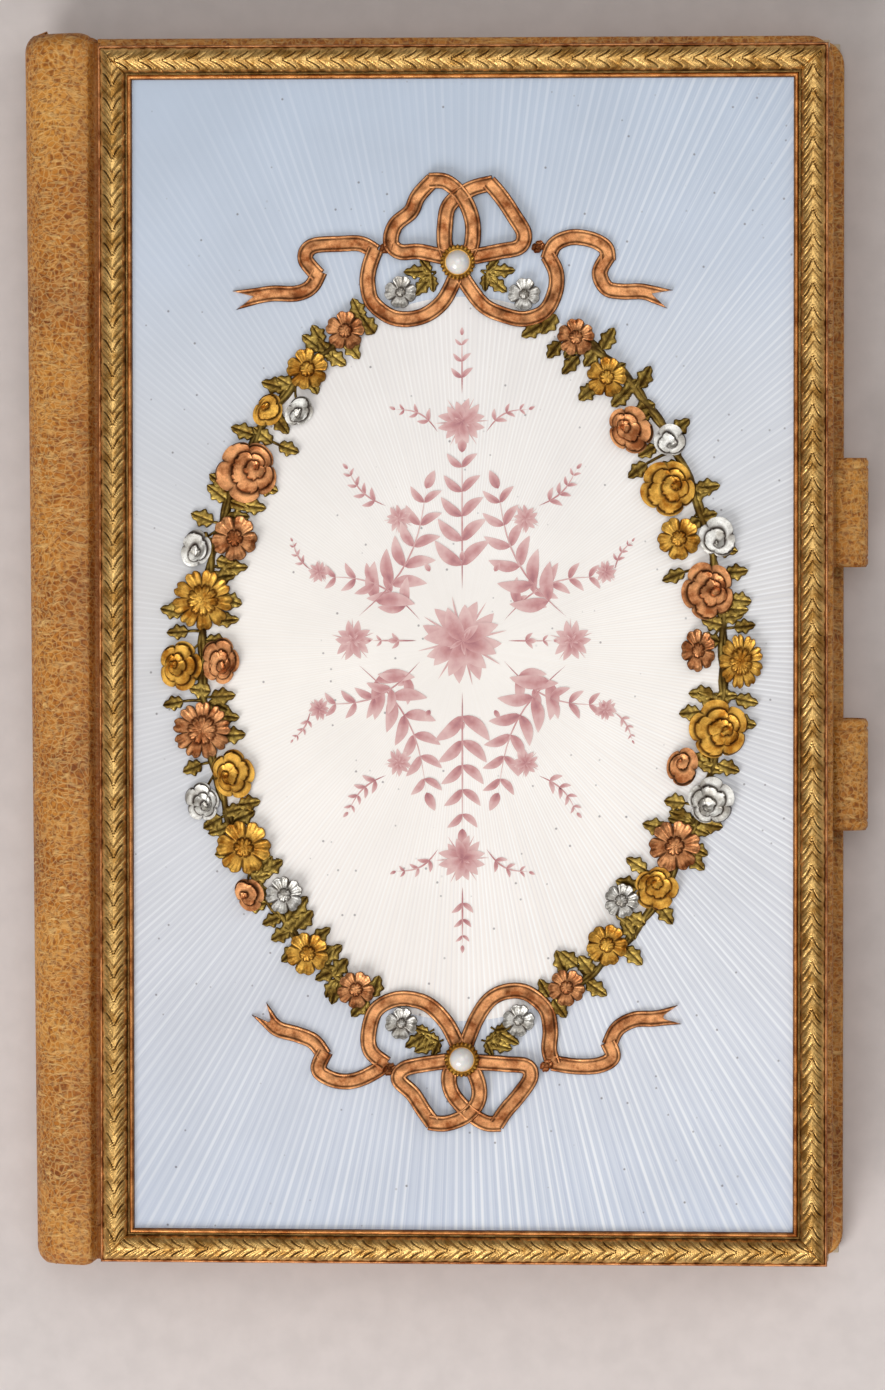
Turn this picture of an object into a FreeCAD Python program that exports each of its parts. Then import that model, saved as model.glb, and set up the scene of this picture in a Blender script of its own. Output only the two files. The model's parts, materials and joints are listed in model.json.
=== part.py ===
import FreeCAD, Part
import math
import os
import re
import Sketcher

# Aide memoire case: two leather covers and a stiff round spine about a note pad, with an enamelled
# gold plaque on the front. Millimetres, spine towards -X, head towards +Y, back cover on z = 0.

V = FreeCAD.Vector
os.makedirs("parts", exist_ok=True)
doc = FreeCAD.newDocument("memo_case")

# Driving dimensions
SIZES = [
    ("cover_height", 104.4),
    ("spine_overhang", 0.7),
    ("front_width", 62.6),
    ("back_width", 63.4),
    ("leather_thickness", 0.35),
    ("board_thickness", 1.4),
    ("lining_thickness", 0.25),
    ("turn_in_width", 6.0),
    ("corner_radius", 1.8),
    ("inner_gap", 4.5),
    ("hinge_clearance", 0.3),
    ("spine_flat_head", 2.05),
    ("spine_flat_tail", 1.25),
    ("liner_thickness", 0.6),
    ("liner_setback", 0.6),
    ("edge_clearance", 0.1),
    ("card_thickness", 0.4),
    ("card_clearance", 0.05),
    ("pocket_thickness", 0.25),
    ("pocket_mouth", 10.0),
    ("welt_width", 1.5),
    ("ticket_gap", 0.25),
    ("ticket_height", 62.0),
    ("pad_end_margin", 3.7),
    ("pad_gutter", 1.2),
    ("pad_fore_margin", 3.7),
    ("block_thickness", 2.0),
    ("block_lift", 0.15),
    ("tape_thickness", 0.12),
    ("tape_flange", 5.0),
    ("tape_wall", 0.3),
    ("leaf_thickness", 0.22),
    ("leaf_gap", 0.06),
    ("leaf_root_gap", 0.4),
    ("leaf_corner_radius", 3.0),
    ("loop_radius", 1.95),
    ("loop_wall", 0.45),
    ("loop_reach", 2.95),
    ("loop_tail", 4.0),
    ("upper_loop_length", 9.3),
    ("upper_loop_centre", 11.85),
    ("lower_loop_length", 9.5),
    ("lower_loop_centre", -10.5),
    ("crease_inset", 0.8),
    ("crease_width", 0.25),
    ("crease_depth", 0.12),
    ("plaque_inset", 0.1),
    ("plaque_fore_margin", 0.44),
    ("plaque_head_margin", 0.62),
    ("plaque_tail_margin", 0.02),
    ("bezel_width", 0.43),
    ("channel_width", 0.3),
    ("band_width", 1.95),
    ("fillet_width", 0.25),
    ("backplate_thickness", 0.25),
    ("enamel_thickness", 0.4),
    ("bezel_height", 0.9),
    ("band_edge_height", 0.75),
    ("band_ridge_height", 1.4),
    ("outer_fillet_height", 0.65),
    ("edge_chamfer", 0.08),
    ("chevron_pitch", 2.05),
    ("chevron_depth", 0.28),
    ("chevron_width", 0.5),
    ("chevron_sweep", 0.85),
    ("post_radius", 0.5),
    ("post_clearance", 0.05),
    ("post_inset", 5.0),
    ("washer_radius", 1.1),
    ("washer_thickness", 0.3),
    ("oval_side_margin", 5.9),
    ("oval_end_margin", 18.15),
    ("oval_drop", 0.3),
    ("stem_width", 0.55),
    ("stem_height", 0.35),
    ("leaf_length", 1.5),
    ("leaf_breadth", 0.75),
    ("flower_height", 0.7),
    ("ribbon_width", 1.1),
    ("ribbon_thickness", 0.35),
    ("cup_radius", 1.49),
    ("cup_floor", 0.12),
    ("cup_wall_height", 0.45),
    ("tooth_depth", 0.2),
    ("tooth_half_width", 0.27),
    ("tooth_count", 24),
    ("pearl_radius", 1.05),
    ("pearl_clearance", 0.05),
    ("knot_radius", 1.2),
    ("bow_top_drop", 15.55),
    ("bow_top_shift", -0.3),
    ("bow_tail_rise", 14.65),
    ("bow_tail_shift", 0.0),
]
sheet = doc.addObject("Spreadsheet::Sheet", "sizes")
for row, (alias, value) in enumerate(SIZES, 1):
    sheet.set(f"A{row}", alias)
    sheet.set(f"B{row}", str(value))
    sheet.setAlias(f"B{row}", alias)
doc.recompute()

# Heights and places that follow from the driving dimensions
COVER = "(2 * leather_thickness + board_thickness)"
TOTAL = f"(2 * {COVER} + inner_gap)"
FRONT_BASE = f"({COVER} + inner_gap)"
FRONT_RIGHT = "(hinge_clearance + front_width)"
BACK_RIGHT = "(hinge_clearance + back_width)"
HALF_HEIGHT = "(cover_height / 2)"
WINDOW_HALF = "(cover_height / 2 - turn_in_width)"
LINING_TOP = "(leather_thickness + board_thickness + lining_thickness)"
POCKET_LIFT = "(card_thickness + 2 * card_clearance)"
BLOCK_BASE = f"({LINING_TOP} + {POCKET_LIFT} + pocket_thickness + block_lift)"
BLOCK_TOP = f"({BLOCK_BASE} + block_thickness)"
LEAF_STEP = "(leaf_thickness + leaf_gap)"
LEAF_BASE = f"({BLOCK_TOP} + tape_thickness + leaf_gap)"
LOOP_X = f"({FRONT_RIGHT} + loop_reach - loop_radius)"
RAIL_SPAN = "(bezel_width + channel_width + band_width + fillet_width)"
PLAQUE_LEFT = "(hinge_clearance + plaque_inset)"
OPENING_X = f"((front_width - plaque_inset - plaque_fore_margin) / 2 - {RAIL_SPAN})"
OPENING_Y = f"((cover_height - plaque_head_margin - plaque_tail_margin) / 2 - {RAIL_SPAN})"
PLAQUE_X = f"({PLAQUE_LEFT} + {RAIL_SPAN} + {OPENING_X})"
PLAQUE_Y = "((plaque_tail_margin - plaque_head_margin) / 2)"
OVAL_X = f"({OPENING_X} - oval_side_margin)"
OVAL_Y = f"({OPENING_Y} - oval_end_margin)"
OVAL_CENTRE = f"({PLAQUE_Y} - oval_drop)"
PLATE_TOP = f"({TOTAL} + backplate_thickness)"
ENAMEL_TOP = f"({PLATE_TOP} + enamel_thickness)"
ROW_SHIFT = f"(({TOTAL} / 2 + spine_flat_head - {FRONT_RIGHT} - loop_reach) / 2)"
ALIASES = [alias for alias, number in SIZES]
sub_parts = []


def bound(text):
    """An expression on the sheet's cells, written with their bare names."""
    for alias in ALIASES:
        text = re.sub(rf"\b{alias}\b", f"sizes.{alias}", text)
    return text


def value(text):
    return float(sheet.evalExpression(bound(text)))


def finished(item, label):
    """Keep an object as a sub-part under its own name."""
    item.Label = label
    sub_parts.append(item)
    return item


def shifted(item, x="0", y="0", z="0"):
    """Place an object from the hinge line, in the frame whose origin is the footprint's centre."""
    item.setExpression("Placement.Base.x", bound(f"{x} + {ROW_SHIFT}"))
    item.setExpression("Placement.Base.y", bound(y))
    item.setExpression("Placement.Base.z", bound(z))


# Sketches and features that most sub-parts share
def new_body(label, x="0", y="0", z="0"):
    body = doc.addObject("PartDesign::Body", label)
    body.AllowCompound = True
    shifted(body, x, y, z)
    return body


def new_sketch(body, name, role, offset):
    sketch = body.newObject("Sketcher::SketchObject", f"{body.Name}_{name}")
    plane = next(item for item in body.Origin.OriginFeatures if item.Role == role)
    sketch.AttachmentSupport = [(plane, "")]
    sketch.MapMode = "FlatFace"
    sketch.setExpression("AttachmentOffset.Base.z", bound(offset))
    return sketch


def pin_point(sketch, geometry, end, x, y):
    """Fix one point of a sketch by its two coordinates."""
    for kind, text in (("DistanceX", x), ("DistanceY", y)):
        index = sketch.addConstraint(
            Sketcher.Constraint(kind, -1, 1, geometry, end, value(text)))
        sketch.setExpression(f"Constraints[{index}]", bound(text))


def add_outline(sketch, corners):
    """A closed outline of straight lines through corners given as expressions."""
    first = sketch.GeometryCount
    points = [V(value(x), value(y), 0) for x, y in corners]
    count = len(points)
    for index, point in enumerate(points):
        sketch.addGeometry(Part.LineSegment(point, points[(index + 1) % count]), False)
    for index, (x, y) in enumerate(corners):
        following = first + (index + 1) % count
        sketch.addConstraint(
            Sketcher.Constraint("Coincident", first + index, 2, following, 1))
        pin_point(sketch, first + index, 1, x, y)


def rectangle(left, right, low, high):
    return [(left, low), (right, low), (right, high), (left, high)]


def add_rounded_outline(sketch, left, right, half, radius):
    """A rectangle about the X axis whose two corners on the fore-edge side are arcs."""
    first = sketch.GeometryCount
    centre = f"{right} - {radius}"
    places = [(left, f"-{half}"), (centre, f"-{half}"), (right, f"{radius} - {half}"),
              (right, f"{half} - {radius}"), (centre, half), (left, half)]
    points = [V(value(x), value(y), 0) for x, y in places]
    bulge = value(radius) * math.sqrt(0.5)
    low_crown = V(points[1].x + bulge, points[2].y - bulge, 0)
    high_crown = V(points[1].x + bulge, points[3].y + bulge, 0)
    sketch.addGeometry([Part.LineSegment(points[0], points[1]),
                        Part.Arc(points[1], low_crown, points[2]),
                        Part.LineSegment(points[2], points[3]),
                        Part.Arc(points[3], high_crown, points[4]),
                        Part.LineSegment(points[4], points[5]),
                        Part.LineSegment(points[5], points[0])], False)
    for line in (0, 2, 4):
        pin_point(sketch, first + line, 1, *places[line])
        pin_point(sketch, first + line, 2, *places[line + 1])
    for arc in (1, 3):
        sketch.addConstraint(Sketcher.Constraint("Coincident", first + arc, 1, first + arc - 1, 2))
        sketch.addConstraint(Sketcher.Constraint("Coincident", first + arc, 2, first + arc + 1, 1))
        hold = sketch.addConstraint(
            Sketcher.Constraint("DistanceX", -1, 1, first + arc, 3, value(centre)))
        sketch.setExpression(f"Constraints[{hold}]", bound(centre))
    sketch.addConstraint(Sketcher.Constraint("Coincident", first + 5, 1, first + 4, 2))
    sketch.addConstraint(Sketcher.Constraint("Coincident", first + 5, 2, first, 1))


def add_circle(sketch, x, y, radius):
    circle = Part.Circle(V(value(x), value(y), 0), V(0, 0, 1), value(radius))
    index = sketch.addGeometry(circle, False)
    pin_point(sketch, index, 3, x, y)
    size = sketch.addConstraint(Sketcher.Constraint("Radius", index, value(radius)))
    sketch.setExpression(f"Constraints[{size}]", bound(radius))


def pad(body, sketch, name, length):
    feature = body.newObject("PartDesign::Pad", f"{body.Name}_{name}")
    feature.Profile = sketch
    feature.setExpression("Length", bound(length))
    doc.recompute()
    return feature


def pocket(body, sketch, name, depth):
    """Cut downwards from the sketch, and make sure that something is cut."""
    before = body.Shape.Volume
    feature = body.newObject("PartDesign::Pocket", f"{body.Name}_{name}")
    feature.Profile = sketch
    feature.setExpression("Length", bound(depth))
    doc.recompute()
    if body.Shape.Volume > before - 1e-6:
        raise RuntimeError(f"{feature.Name} cuts nothing")
    return feature


def round_corners(body, radius, chosen):
    """Round the upright edges whose middle point is chosen."""
    before = body.Tip
    names = []
    for number, edge in enumerate(before.Shape.Edges, 1):
        box = edge.BoundBox
        if box.ZLength > 1e-6 and box.XLength + box.YLength < 1e-6 and chosen(box.Center):
            names.append(f"Edge{number}")
    fillet = body.newObject("PartDesign::Fillet", f"{body.Name}_corners")
    fillet.Base = (before, names)
    fillet.setExpression("Radius", bound(radius))
    doc.recompute()
    return fillet


def plate(label, corners, base, height, radius=None):
    """A flat sheet, with its corners on the fore-edge side rounded where a radius is given."""
    body = new_body(label)
    sketch = new_sketch(body, "outline", "XY_Plane", base)
    add_outline(sketch, corners)
    pad(body, sketch, "sheet", height)
    if radius:
        middle = body.Tip.Shape.BoundBox.Center.x
        round_corners(body, radius, lambda point: point.x > middle)
    return body


# Posts that hold the plaque, one near each corner
POST_X = f"({OPENING_X} + {RAIL_SPAN} - post_inset)"
POST_Y = f"({OPENING_Y} + {RAIL_SPAN} - post_inset)"
POST_PLACES = []
for across in (-1, 1):
    for along in (-1, 1):
        POST_PLACES.append((f"{PLAQUE_X} + {across} * {POST_X}", f"{PLAQUE_Y} + {along} * {POST_Y}"))


def bore_posts(body, name, top, radius, depth):
    sketch = new_sketch(body, name, "XY_Plane", top)
    for x, y in POST_PLACES:
        add_circle(sketch, x, y, radius)
    return pocket(body, sketch, f"{name}_cut", depth)


# Cover boards, leather skins and linings
def board(label, right, base):
    corners = rectangle("hinge_clearance", f"{right} - leather_thickness",
                        f"leather_thickness - {HALF_HEIGHT}", f"{HALF_HEIGHT} - leather_thickness")
    return plate(label, corners, f"{base} + leather_thickness", "board_thickness", "corner_radius")


def leather_skin(label, right, base, window_top):
    """Leather round a board, turned in over its head, tail and fore edge."""
    corners = rectangle("hinge_clearance", right, f"-{HALF_HEIGHT}", HALF_HEIGHT)
    skin = plate(label, corners, base, COVER, "corner_radius + leather_thickness")
    slot = new_sketch(skin, "board_slot", "XY_Plane", f"{base} + leather_thickness + board_thickness")
    add_rounded_outline(slot, "0", f"({right} - leather_thickness)",
                        f"({HALF_HEIGHT} - leather_thickness)", "corner_radius")
    pocket(skin, slot, "slot_cut", "board_thickness")
    window = new_sketch(skin, "window", "XY_Plane", window_top)
    add_outline(window, rectangle("0", f"{right} - turn_in_width", f"-{WINDOW_HALF}", WINDOW_HALF))
    pocket(skin, window, "window_cut", "leather_thickness")
    return skin


def lining(label, right, base):
    corners = rectangle("hinge_clearance", f"{right} - turn_in_width - edge_clearance",
                        f"edge_clearance - {WINDOW_HALF}", f"{WINDOW_HALF} - edge_clearance")
    return plate(label, corners, base, "lining_thickness")


finished(board("back_board", BACK_RIGHT, "0"), "back_board")
finished(leather_skin("back_leather", BACK_RIGHT, "0", COVER), "back_leather")
finished(lining("back_lining", BACK_RIGHT, "leather_thickness + board_thickness"), "back_lining")

front_board = board("front_board", FRONT_RIGHT, FRONT_BASE)
bore_posts(front_board, "post_holes", f"{TOTAL} - leather_thickness", "post_radius + post_clearance",
           "board_thickness")
bore_posts(front_board, "washer_seats", f"{FRONT_BASE} + leather_thickness + washer_thickness",
           "washer_radius + post_clearance", "washer_thickness")
finished(front_board, "front_board")
front_leather = leather_skin("front_leather", FRONT_RIGHT, FRONT_BASE,
                             f"{FRONT_BASE} + leather_thickness")
bore_posts(front_leather, "post_holes", TOTAL, "post_radius + post_clearance", "leather_thickness")
finished(front_leather, "front_leather")
finished(lining("front_lining", FRONT_RIGHT, f"{FRONT_BASE} + leather_thickness - lining_thickness"),
         "front_lining")


# Slip pocket on the back lining for the pad's card, open towards the spine
POCKET_RIGHT = f"({BACK_RIGHT} - turn_in_width - edge_clearance)"
POCKET_HALF = f"({WINDOW_HALF} - edge_clearance)"
back_pocket = new_body("back_pocket")
welt = new_sketch(back_pocket, "welt", "XY_Plane", LINING_TOP)
add_outline(welt, [("pocket_mouth", f"-{POCKET_HALF}"), (POCKET_RIGHT, f"-{POCKET_HALF}"),
                   (POCKET_RIGHT, POCKET_HALF), ("pocket_mouth", POCKET_HALF),
                   ("pocket_mouth", f"{POCKET_HALF} - welt_width"),
                   (f"{POCKET_RIGHT} - welt_width", f"{POCKET_HALF} - welt_width"),
                   (f"{POCKET_RIGHT} - welt_width", f"welt_width - {POCKET_HALF}"),
                   ("pocket_mouth", f"welt_width - {POCKET_HALF}")])
pad(back_pocket, welt, "welts", POCKET_LIFT)
cover_sheet = new_sketch(back_pocket, "cover", "XY_Plane", f"{LINING_TOP} + {POCKET_LIFT}")
add_outline(cover_sheet, rectangle("pocket_mouth", POCKET_RIGHT, f"-{POCKET_HALF}", POCKET_HALF))
pad(back_pocket, cover_sheet, "sheet", "pocket_thickness")
finished(back_pocket, "back_pocket")

# Ticket pocket on the front lining, open towards the head
TICKET_TOP = f"({FRONT_BASE} + leather_thickness - lining_thickness)"
TICKET_LOW = f"(edge_clearance - {WINDOW_HALF})"
TICKET_HIGH = f"({TICKET_LOW} + ticket_height)"
TICKET_LEFT = "pocket_mouth"
TICKET_RIGHT = f"({FRONT_RIGHT} - turn_in_width - edge_clearance)"
front_pocket = new_body("front_pocket")
welt = new_sketch(front_pocket, "welt", "XY_Plane", f"{TICKET_TOP} - ticket_gap")
add_outline(welt, [(TICKET_LEFT, TICKET_HIGH), (TICKET_LEFT, TICKET_LOW), (TICKET_RIGHT, TICKET_LOW),
                   (TICKET_RIGHT, TICKET_HIGH), (f"{TICKET_RIGHT} - welt_width", TICKET_HIGH),
                   (f"{TICKET_RIGHT} - welt_width", f"{TICKET_LOW} + welt_width"),
                   (f"{TICKET_LEFT} + welt_width", f"{TICKET_LOW} + welt_width"),
                   (f"{TICKET_LEFT} + welt_width", TICKET_HIGH)])
pad(front_pocket, welt, "welts", "ticket_gap")
ticket_sheet = new_sketch(front_pocket, "cover", "XY_Plane",
                          f"{TICKET_TOP} - ticket_gap - pocket_thickness")
add_outline(ticket_sheet, rectangle(TICKET_LEFT, TICKET_RIGHT, TICKET_LOW, TICKET_HIGH))
pad(front_pocket, ticket_sheet, "sheet", "pocket_thickness")
finished(front_pocket, "front_pocket")


# Spine: a leather strip lofted from the deeper head to the shallower tail, over a stiff liner
SPINE_HALF = f"({HALF_HEIGHT} + spine_overhang)"


def spine_section(body, name, offset, flat, inset, thickness, setback):
    """A U open towards the covers, its bend a half circle between the covers' outer faces."""
    sketch = new_sketch(body, name, "XZ_Plane", offset)
    end = f"-(hinge_clearance + {setback})"
    middle = f"{TOTAL} / 2"
    centre = f"-({flat})"
    radii = [f"({TOTAL} / 2 - {inset})", f"({TOTAL} / 2 - {inset} - {thickness})"]
    corners = []
    for radius in radii:
        corners.append([(end, f"{middle} + {radius}"), (centre, f"{middle} + {radius}"),
                        (centre, f"{middle} - {radius}"), (end, f"{middle} - {radius}")])
    for radius, places in zip(radii, corners):
        points = [V(value(x), value(z), 0) for x, z in places]
        crest = V(points[1].x - value(radius), value(middle), 0)
        first = sketch.GeometryCount
        sketch.addGeometry(Part.LineSegment(points[0], points[1]), False)
        sketch.addGeometry(Part.Arc(points[1], crest, points[2]), False)
        sketch.addGeometry(Part.LineSegment(points[2], points[3]), False)
        for index, end_number, place in ((0, 1, 0), (0, 2, 1), (2, 1, 2), (2, 2, 3)):
            pin_point(sketch, first + index, end_number, *places[place])
        sketch.addConstraint(Sketcher.Constraint("Coincident", first + 1, 1, first, 2))
        sketch.addConstraint(Sketcher.Constraint("Coincident", first + 1, 2, first + 2, 1))
        hold = sketch.addConstraint(
            Sketcher.Constraint("DistanceX", -1, 1, first + 1, 3, value(centre)))
        sketch.setExpression(f"Constraints[{hold}]", bound(centre))
    for corner in (0, 3):
        outer = V(value(corners[0][corner][0]), value(corners[0][corner][1]), 0)
        inner = V(value(corners[1][corner][0]), value(corners[1][corner][1]), 0)
        line = sketch.addGeometry(Part.LineSegment(outer, inner), False)
        geometry, end_number = ((0, 1) if corner == 0 else (2, 2))
        sketch.addConstraint(Sketcher.Constraint("Coincident", line, 1, geometry, end_number))
        sketch.addConstraint(Sketcher.Constraint("Coincident", line, 2, geometry + 3, end_number))
    return sketch


def spine_strip(label, inset, thickness, setback):
    body = new_body(label)
    head = spine_section(body, "head", f"-{SPINE_HALF}", "spine_flat_head", inset, thickness, setback)
    tail = spine_section(body, "tail", SPINE_HALF, "spine_flat_tail", inset, thickness, setback)
    loft = body.newObject("PartDesign::AdditiveLoft", f"{label}_loft")
    loft.Profile = head
    loft.Sections = [tail]
    loft.Ruled = True
    doc.recompute()
    return finished(body, label)


spine_strip("spine_leather", "0", "leather_thickness", "0")
spine_strip("spine_liner", "leather_thickness", "liner_thickness", "liner_setback")

# Note pad: its card in the pocket, the block of leaves, the tape at the gutter and the turning leaves
CARD_RIGHT = f"({POCKET_RIGHT} - welt_width - edge_clearance)"
CARD_HALF = f"({POCKET_HALF} - welt_width - edge_clearance)"
PAD_HALF = f"({HALF_HEIGHT} - pad_end_margin)"
PAD_RIGHT = f"({BACK_RIGHT} - pad_fore_margin)"
finished(plate("pad_card", rectangle("pad_gutter", CARD_RIGHT, f"-{CARD_HALF}", CARD_HALF),
               f"{LINING_TOP} + card_clearance", "card_thickness"), "pad_card")
page = rectangle("pad_gutter", PAD_RIGHT, f"-{PAD_HALF}", PAD_HALF)
finished(plate("pad_leaves", page, BLOCK_BASE, "block_thickness", "leaf_corner_radius"), "pad_leaves")
tape = new_body("pad_tape")
wall = new_sketch(tape, "wall", "XY_Plane", f"{LINING_TOP} + card_clearance")
add_outline(wall, rectangle("pad_gutter - tape_wall", "pad_gutter", f"-{CARD_HALF}", CARD_HALF))
pad(tape, wall, "back", f"{BLOCK_TOP} + tape_thickness - {LINING_TOP} - card_clearance")
flange = new_sketch(tape, "flange", "XY_Plane", BLOCK_TOP)
add_outline(flange, rectangle("pad_gutter", "pad_gutter + tape_flange", f"-{CARD_HALF}", CARD_HALF))
pad(tape, flange, "top", "tape_thickness")
finished(tape, "pad_tape")
for number in range(3):
    leaf = rectangle("pad_gutter + leaf_root_gap", PAD_RIGHT, f"-{PAD_HALF}", PAD_HALF)
    label = f"note_leaf_{number + 1}"
    finished(plate(label, leaf, f"{LEAF_BASE} + {number} * {LEAF_STEP}", "leaf_thickness",
                   "leaf_corner_radius"), label)


# Pencil loops: a strap rolled round the pencil, its tail glued to one cover
def along_y(name, radius, length, start):
    """A round bar on the loops' axis."""
    bar = doc.addObject("Part::Cylinder", name)
    bar.setExpression("Radius", bound(radius))
    bar.setExpression("Height", bound(length))
    bar.Placement = FreeCAD.Placement(V(0, 0, 0), FreeCAD.Rotation(V(1, 0, 0), -90))
    bar.setExpression("Placement.Base.x", bound(LOOP_X))
    bar.setExpression("Placement.Base.y", bound(start))
    bar.setExpression("Placement.Base.z", bound(f"{TOTAL} / 2"))
    return bar


def combined(kind, name, base, tool):
    result = doc.addObject(kind, name)
    result.Base = base
    result.Tool = tool
    return result


def pencil_loop(label, centre, length, tail_left, tail_base):
    start = f"{centre} - {length} / 2"
    sleeve = along_y(f"{label}_sleeve", "loop_radius", length, start)
    tail = doc.addObject("Part::Box", f"{label}_tail")
    tail.setExpression("Length", bound(f"{LOOP_X} - {tail_left}"))
    tail.setExpression("Width", bound(length))
    tail.setExpression("Height", bound("loop_wall"))
    tail.setExpression("Placement.Base.x", bound(tail_left))
    tail.setExpression("Placement.Base.y", bound(start))
    tail.setExpression("Placement.Base.z", bound(tail_base))
    bore = along_y(f"{label}_bore", "loop_radius - loop_wall", length, start)
    strap = combined("Part::Fuse", f"{label}_strap", sleeve, tail)
    result = combined("Part::Cut", f"{label}_rolled", strap, bore)
    for side in (-1, 1):
        place = f"{centre} + {side} * ({length} / 2 - crease_inset) - crease_width / 2"
        rim = along_y(f"{label}_rim", "loop_radius + crease_depth", "crease_width", place)
        core = along_y(f"{label}_core", "loop_radius - crease_depth", "crease_width", place)
        crease = combined("Part::Cut", f"{label}_crease", rim, core)
        result = combined("Part::Cut", f"{label}_pressed", result, crease)
    shifted(result)
    return finished(result, label)


pencil_loop("pencil_loop_lower", "lower_loop_centre", "lower_loop_length",
            f"({BACK_RIGHT} - loop_tail)", COVER)
pencil_loop("pencil_loop_upper", "upper_loop_centre", "upper_loop_length",
            f"({FRONT_RIGHT} - loop_tail)", f"({FRONT_BASE} - loop_wall)")

# Plaque: backplate on posts riveted over washers in the board
OUTER_X = f"({OPENING_X} + {RAIL_SPAN})"
OUTER_Y = f"({OPENING_Y} + {RAIL_SPAN})"
backplate = new_body("plaque_backplate", PLAQUE_X, PLAQUE_Y, TOTAL)
outline = new_sketch(backplate, "outline", "XY_Plane", "0")
add_outline(outline, rectangle(f"-{OUTER_X}", OUTER_X, f"-{OUTER_Y}", OUTER_Y))
pad(backplate, outline, "sheet", "backplate_thickness")
finished(backplate, "plaque_backplate")

posts = new_body("plaque_posts")
foot = new_sketch(posts, "feet", "XY_Plane", f"{FRONT_BASE} + leather_thickness")
washers = new_body("plaque_washers")
ring = new_sketch(washers, "rings", "XY_Plane", f"{FRONT_BASE} + leather_thickness")
for x, y in POST_PLACES:
    add_circle(foot, x, y, "post_radius")
    add_circle(ring, x, y, "washer_radius")
    add_circle(ring, x, y, "post_radius + post_clearance")
pad(posts, foot, "shanks", "leather_thickness + board_thickness")
pad(washers, ring, "discs", "washer_thickness")
finished(posts, "plaque_posts")
finished(washers, "plaque_washers")


# Enamel: an engine-turned field with an oval window, and the oval plate in it
def oval_plate(label):
    ellipse = doc.addObject("Part::Ellipse", f"{label}_edge")
    ellipse.setExpression("MajorRadius", bound(OVAL_Y))
    ellipse.setExpression("MinorRadius", bound(OVAL_X))
    ellipse.Placement = FreeCAD.Placement(V(0, 0, 0), FreeCAD.Rotation(V(0, 0, 1), 90))
    solid = doc.addObject("Part::Extrusion", f"{label}_solid")
    solid.Base = ellipse
    solid.DirMode = "Custom"
    solid.Dir = V(0, 0, 1)
    solid.Solid = True
    solid.setExpression("LengthFwd", bound("enamel_thickness"))
    return solid


white = oval_plate("white_enamel")
shifted(white, PLAQUE_X, OVAL_CENTRE, PLATE_TOP)
finished(white, "white_enamel")
field = doc.addObject("Part::Box", "blue_field")
field.setExpression("Length", bound(f"2 * {OPENING_X}"))
field.setExpression("Width", bound(f"2 * {OPENING_Y}"))
field.setExpression("Height", bound("enamel_thickness"))
field.setExpression("Placement.Base.x", bound(f"-{OPENING_X}"))
field.setExpression("Placement.Base.y", bound(f"-{OPENING_Y}"))
blue = doc.addObject("Part::Cut", "blue_enamel")
blue.Base = field
window = oval_plate("oval_window")
window.setExpression("Placement.Base.y", bound("-oval_drop"))
blue.Tool = window
shifted(blue, PLAQUE_X, PLAQUE_Y, PLATE_TOP)
finished(blue, "blue_enamel")


# Plain mouldings: the bezel round the enamel and the thin outer fillet
def moulding(label, inner_x, inner_y, width, height):
    body = new_body(label, PLAQUE_X, PLAQUE_Y, PLATE_TOP)
    sketch = new_sketch(body, "outline", "XY_Plane", "0")
    add_outline(sketch, rectangle(f"-({inner_x} + {width})", f"{inner_x} + {width}",
                                  f"-({inner_y} + {width})", f"{inner_y} + {width}"))
    add_outline(sketch, rectangle(f"-{inner_x}", inner_x, f"-{inner_y}", inner_y))
    pad(body, sketch, "wall", height)
    before = body.Tip
    top = before.Shape.BoundBox.ZMax
    names = [f"Edge{number}" for number, edge in enumerate(before.Shape.Edges, 1)
             if edge.BoundBox.ZMin > top - 1e-6]
    chamfer = body.newObject("PartDesign::Chamfer", f"{label}_edges")
    chamfer.Base = (before, names)
    chamfer.setExpression("Size", bound("edge_chamfer"))
    doc.recompute()
    return finished(body, label)


moulding("inner_fillet", OPENING_X, OPENING_Y, "bezel_width", "bezel_height")
moulding("outer_fillet", f"({OUTER_X} - fillet_width)", f"({OUTER_Y} - fillet_width)",
         "fillet_width", "outer_fillet_height")


# Chased rails: laurel leaves that lap one another along a ridge, mitred at the corners
SPARE_TEETH = 3


def chased_half(length, side):
    """One slope of a rail: a saw-toothed strip drawn out from the ridge to the edge."""
    pitch = value("chevron_pitch")
    sweep = value("chevron_sweep")
    ridge = value("band_ridge_height")
    depth = value("chevron_depth")
    count = int(length / pitch) + SPARE_TEETH
    start = -count * pitch / 2 - sweep / 2
    profile = [V(start, 0, -ridge)]
    for tooth in range(count):
        profile.append(V(start + tooth * pitch, 0, ridge))
        profile.append(V(start + (tooth + 1) * pitch, 0, ridge - depth))
    profile.append(V(start + count * pitch, 0, -ridge))
    profile.append(profile[0])
    drop = ridge - value("band_edge_height") - depth
    face = Part.Face(Part.makePolygon(profile))
    return face.extrude(V(sweep, side * value("band_width") / 2, -drop))


def chased_rail(label, length, x, y, turn):
    width = value("band_width")
    half = value(length) / 2
    mitred = [V(-half, width / 2, 0), V(half, width / 2, 0),
              V(half - width, -width / 2, 0), V(width - half, -width / 2, 0)]
    blank = Part.Face(Part.makePolygon(mitred + mitred[:1]))
    blank = blank.extrude(V(0, 0, value("band_ridge_height")))
    slopes = chased_half(2 * half, -1).fuse(chased_half(2 * half, 1))
    rail = doc.addObject("Part::Feature", label)
    rail.Shape = blank.common(slopes).removeSplitter()
    rail.Placement = FreeCAD.Placement(V(0, 0, 0), FreeCAD.Rotation(V(0, 0, 1), turn))
    shifted(rail, f"{PLAQUE_X} + {x}", y, PLATE_TOP)
    return finished(rail, label)


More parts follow.
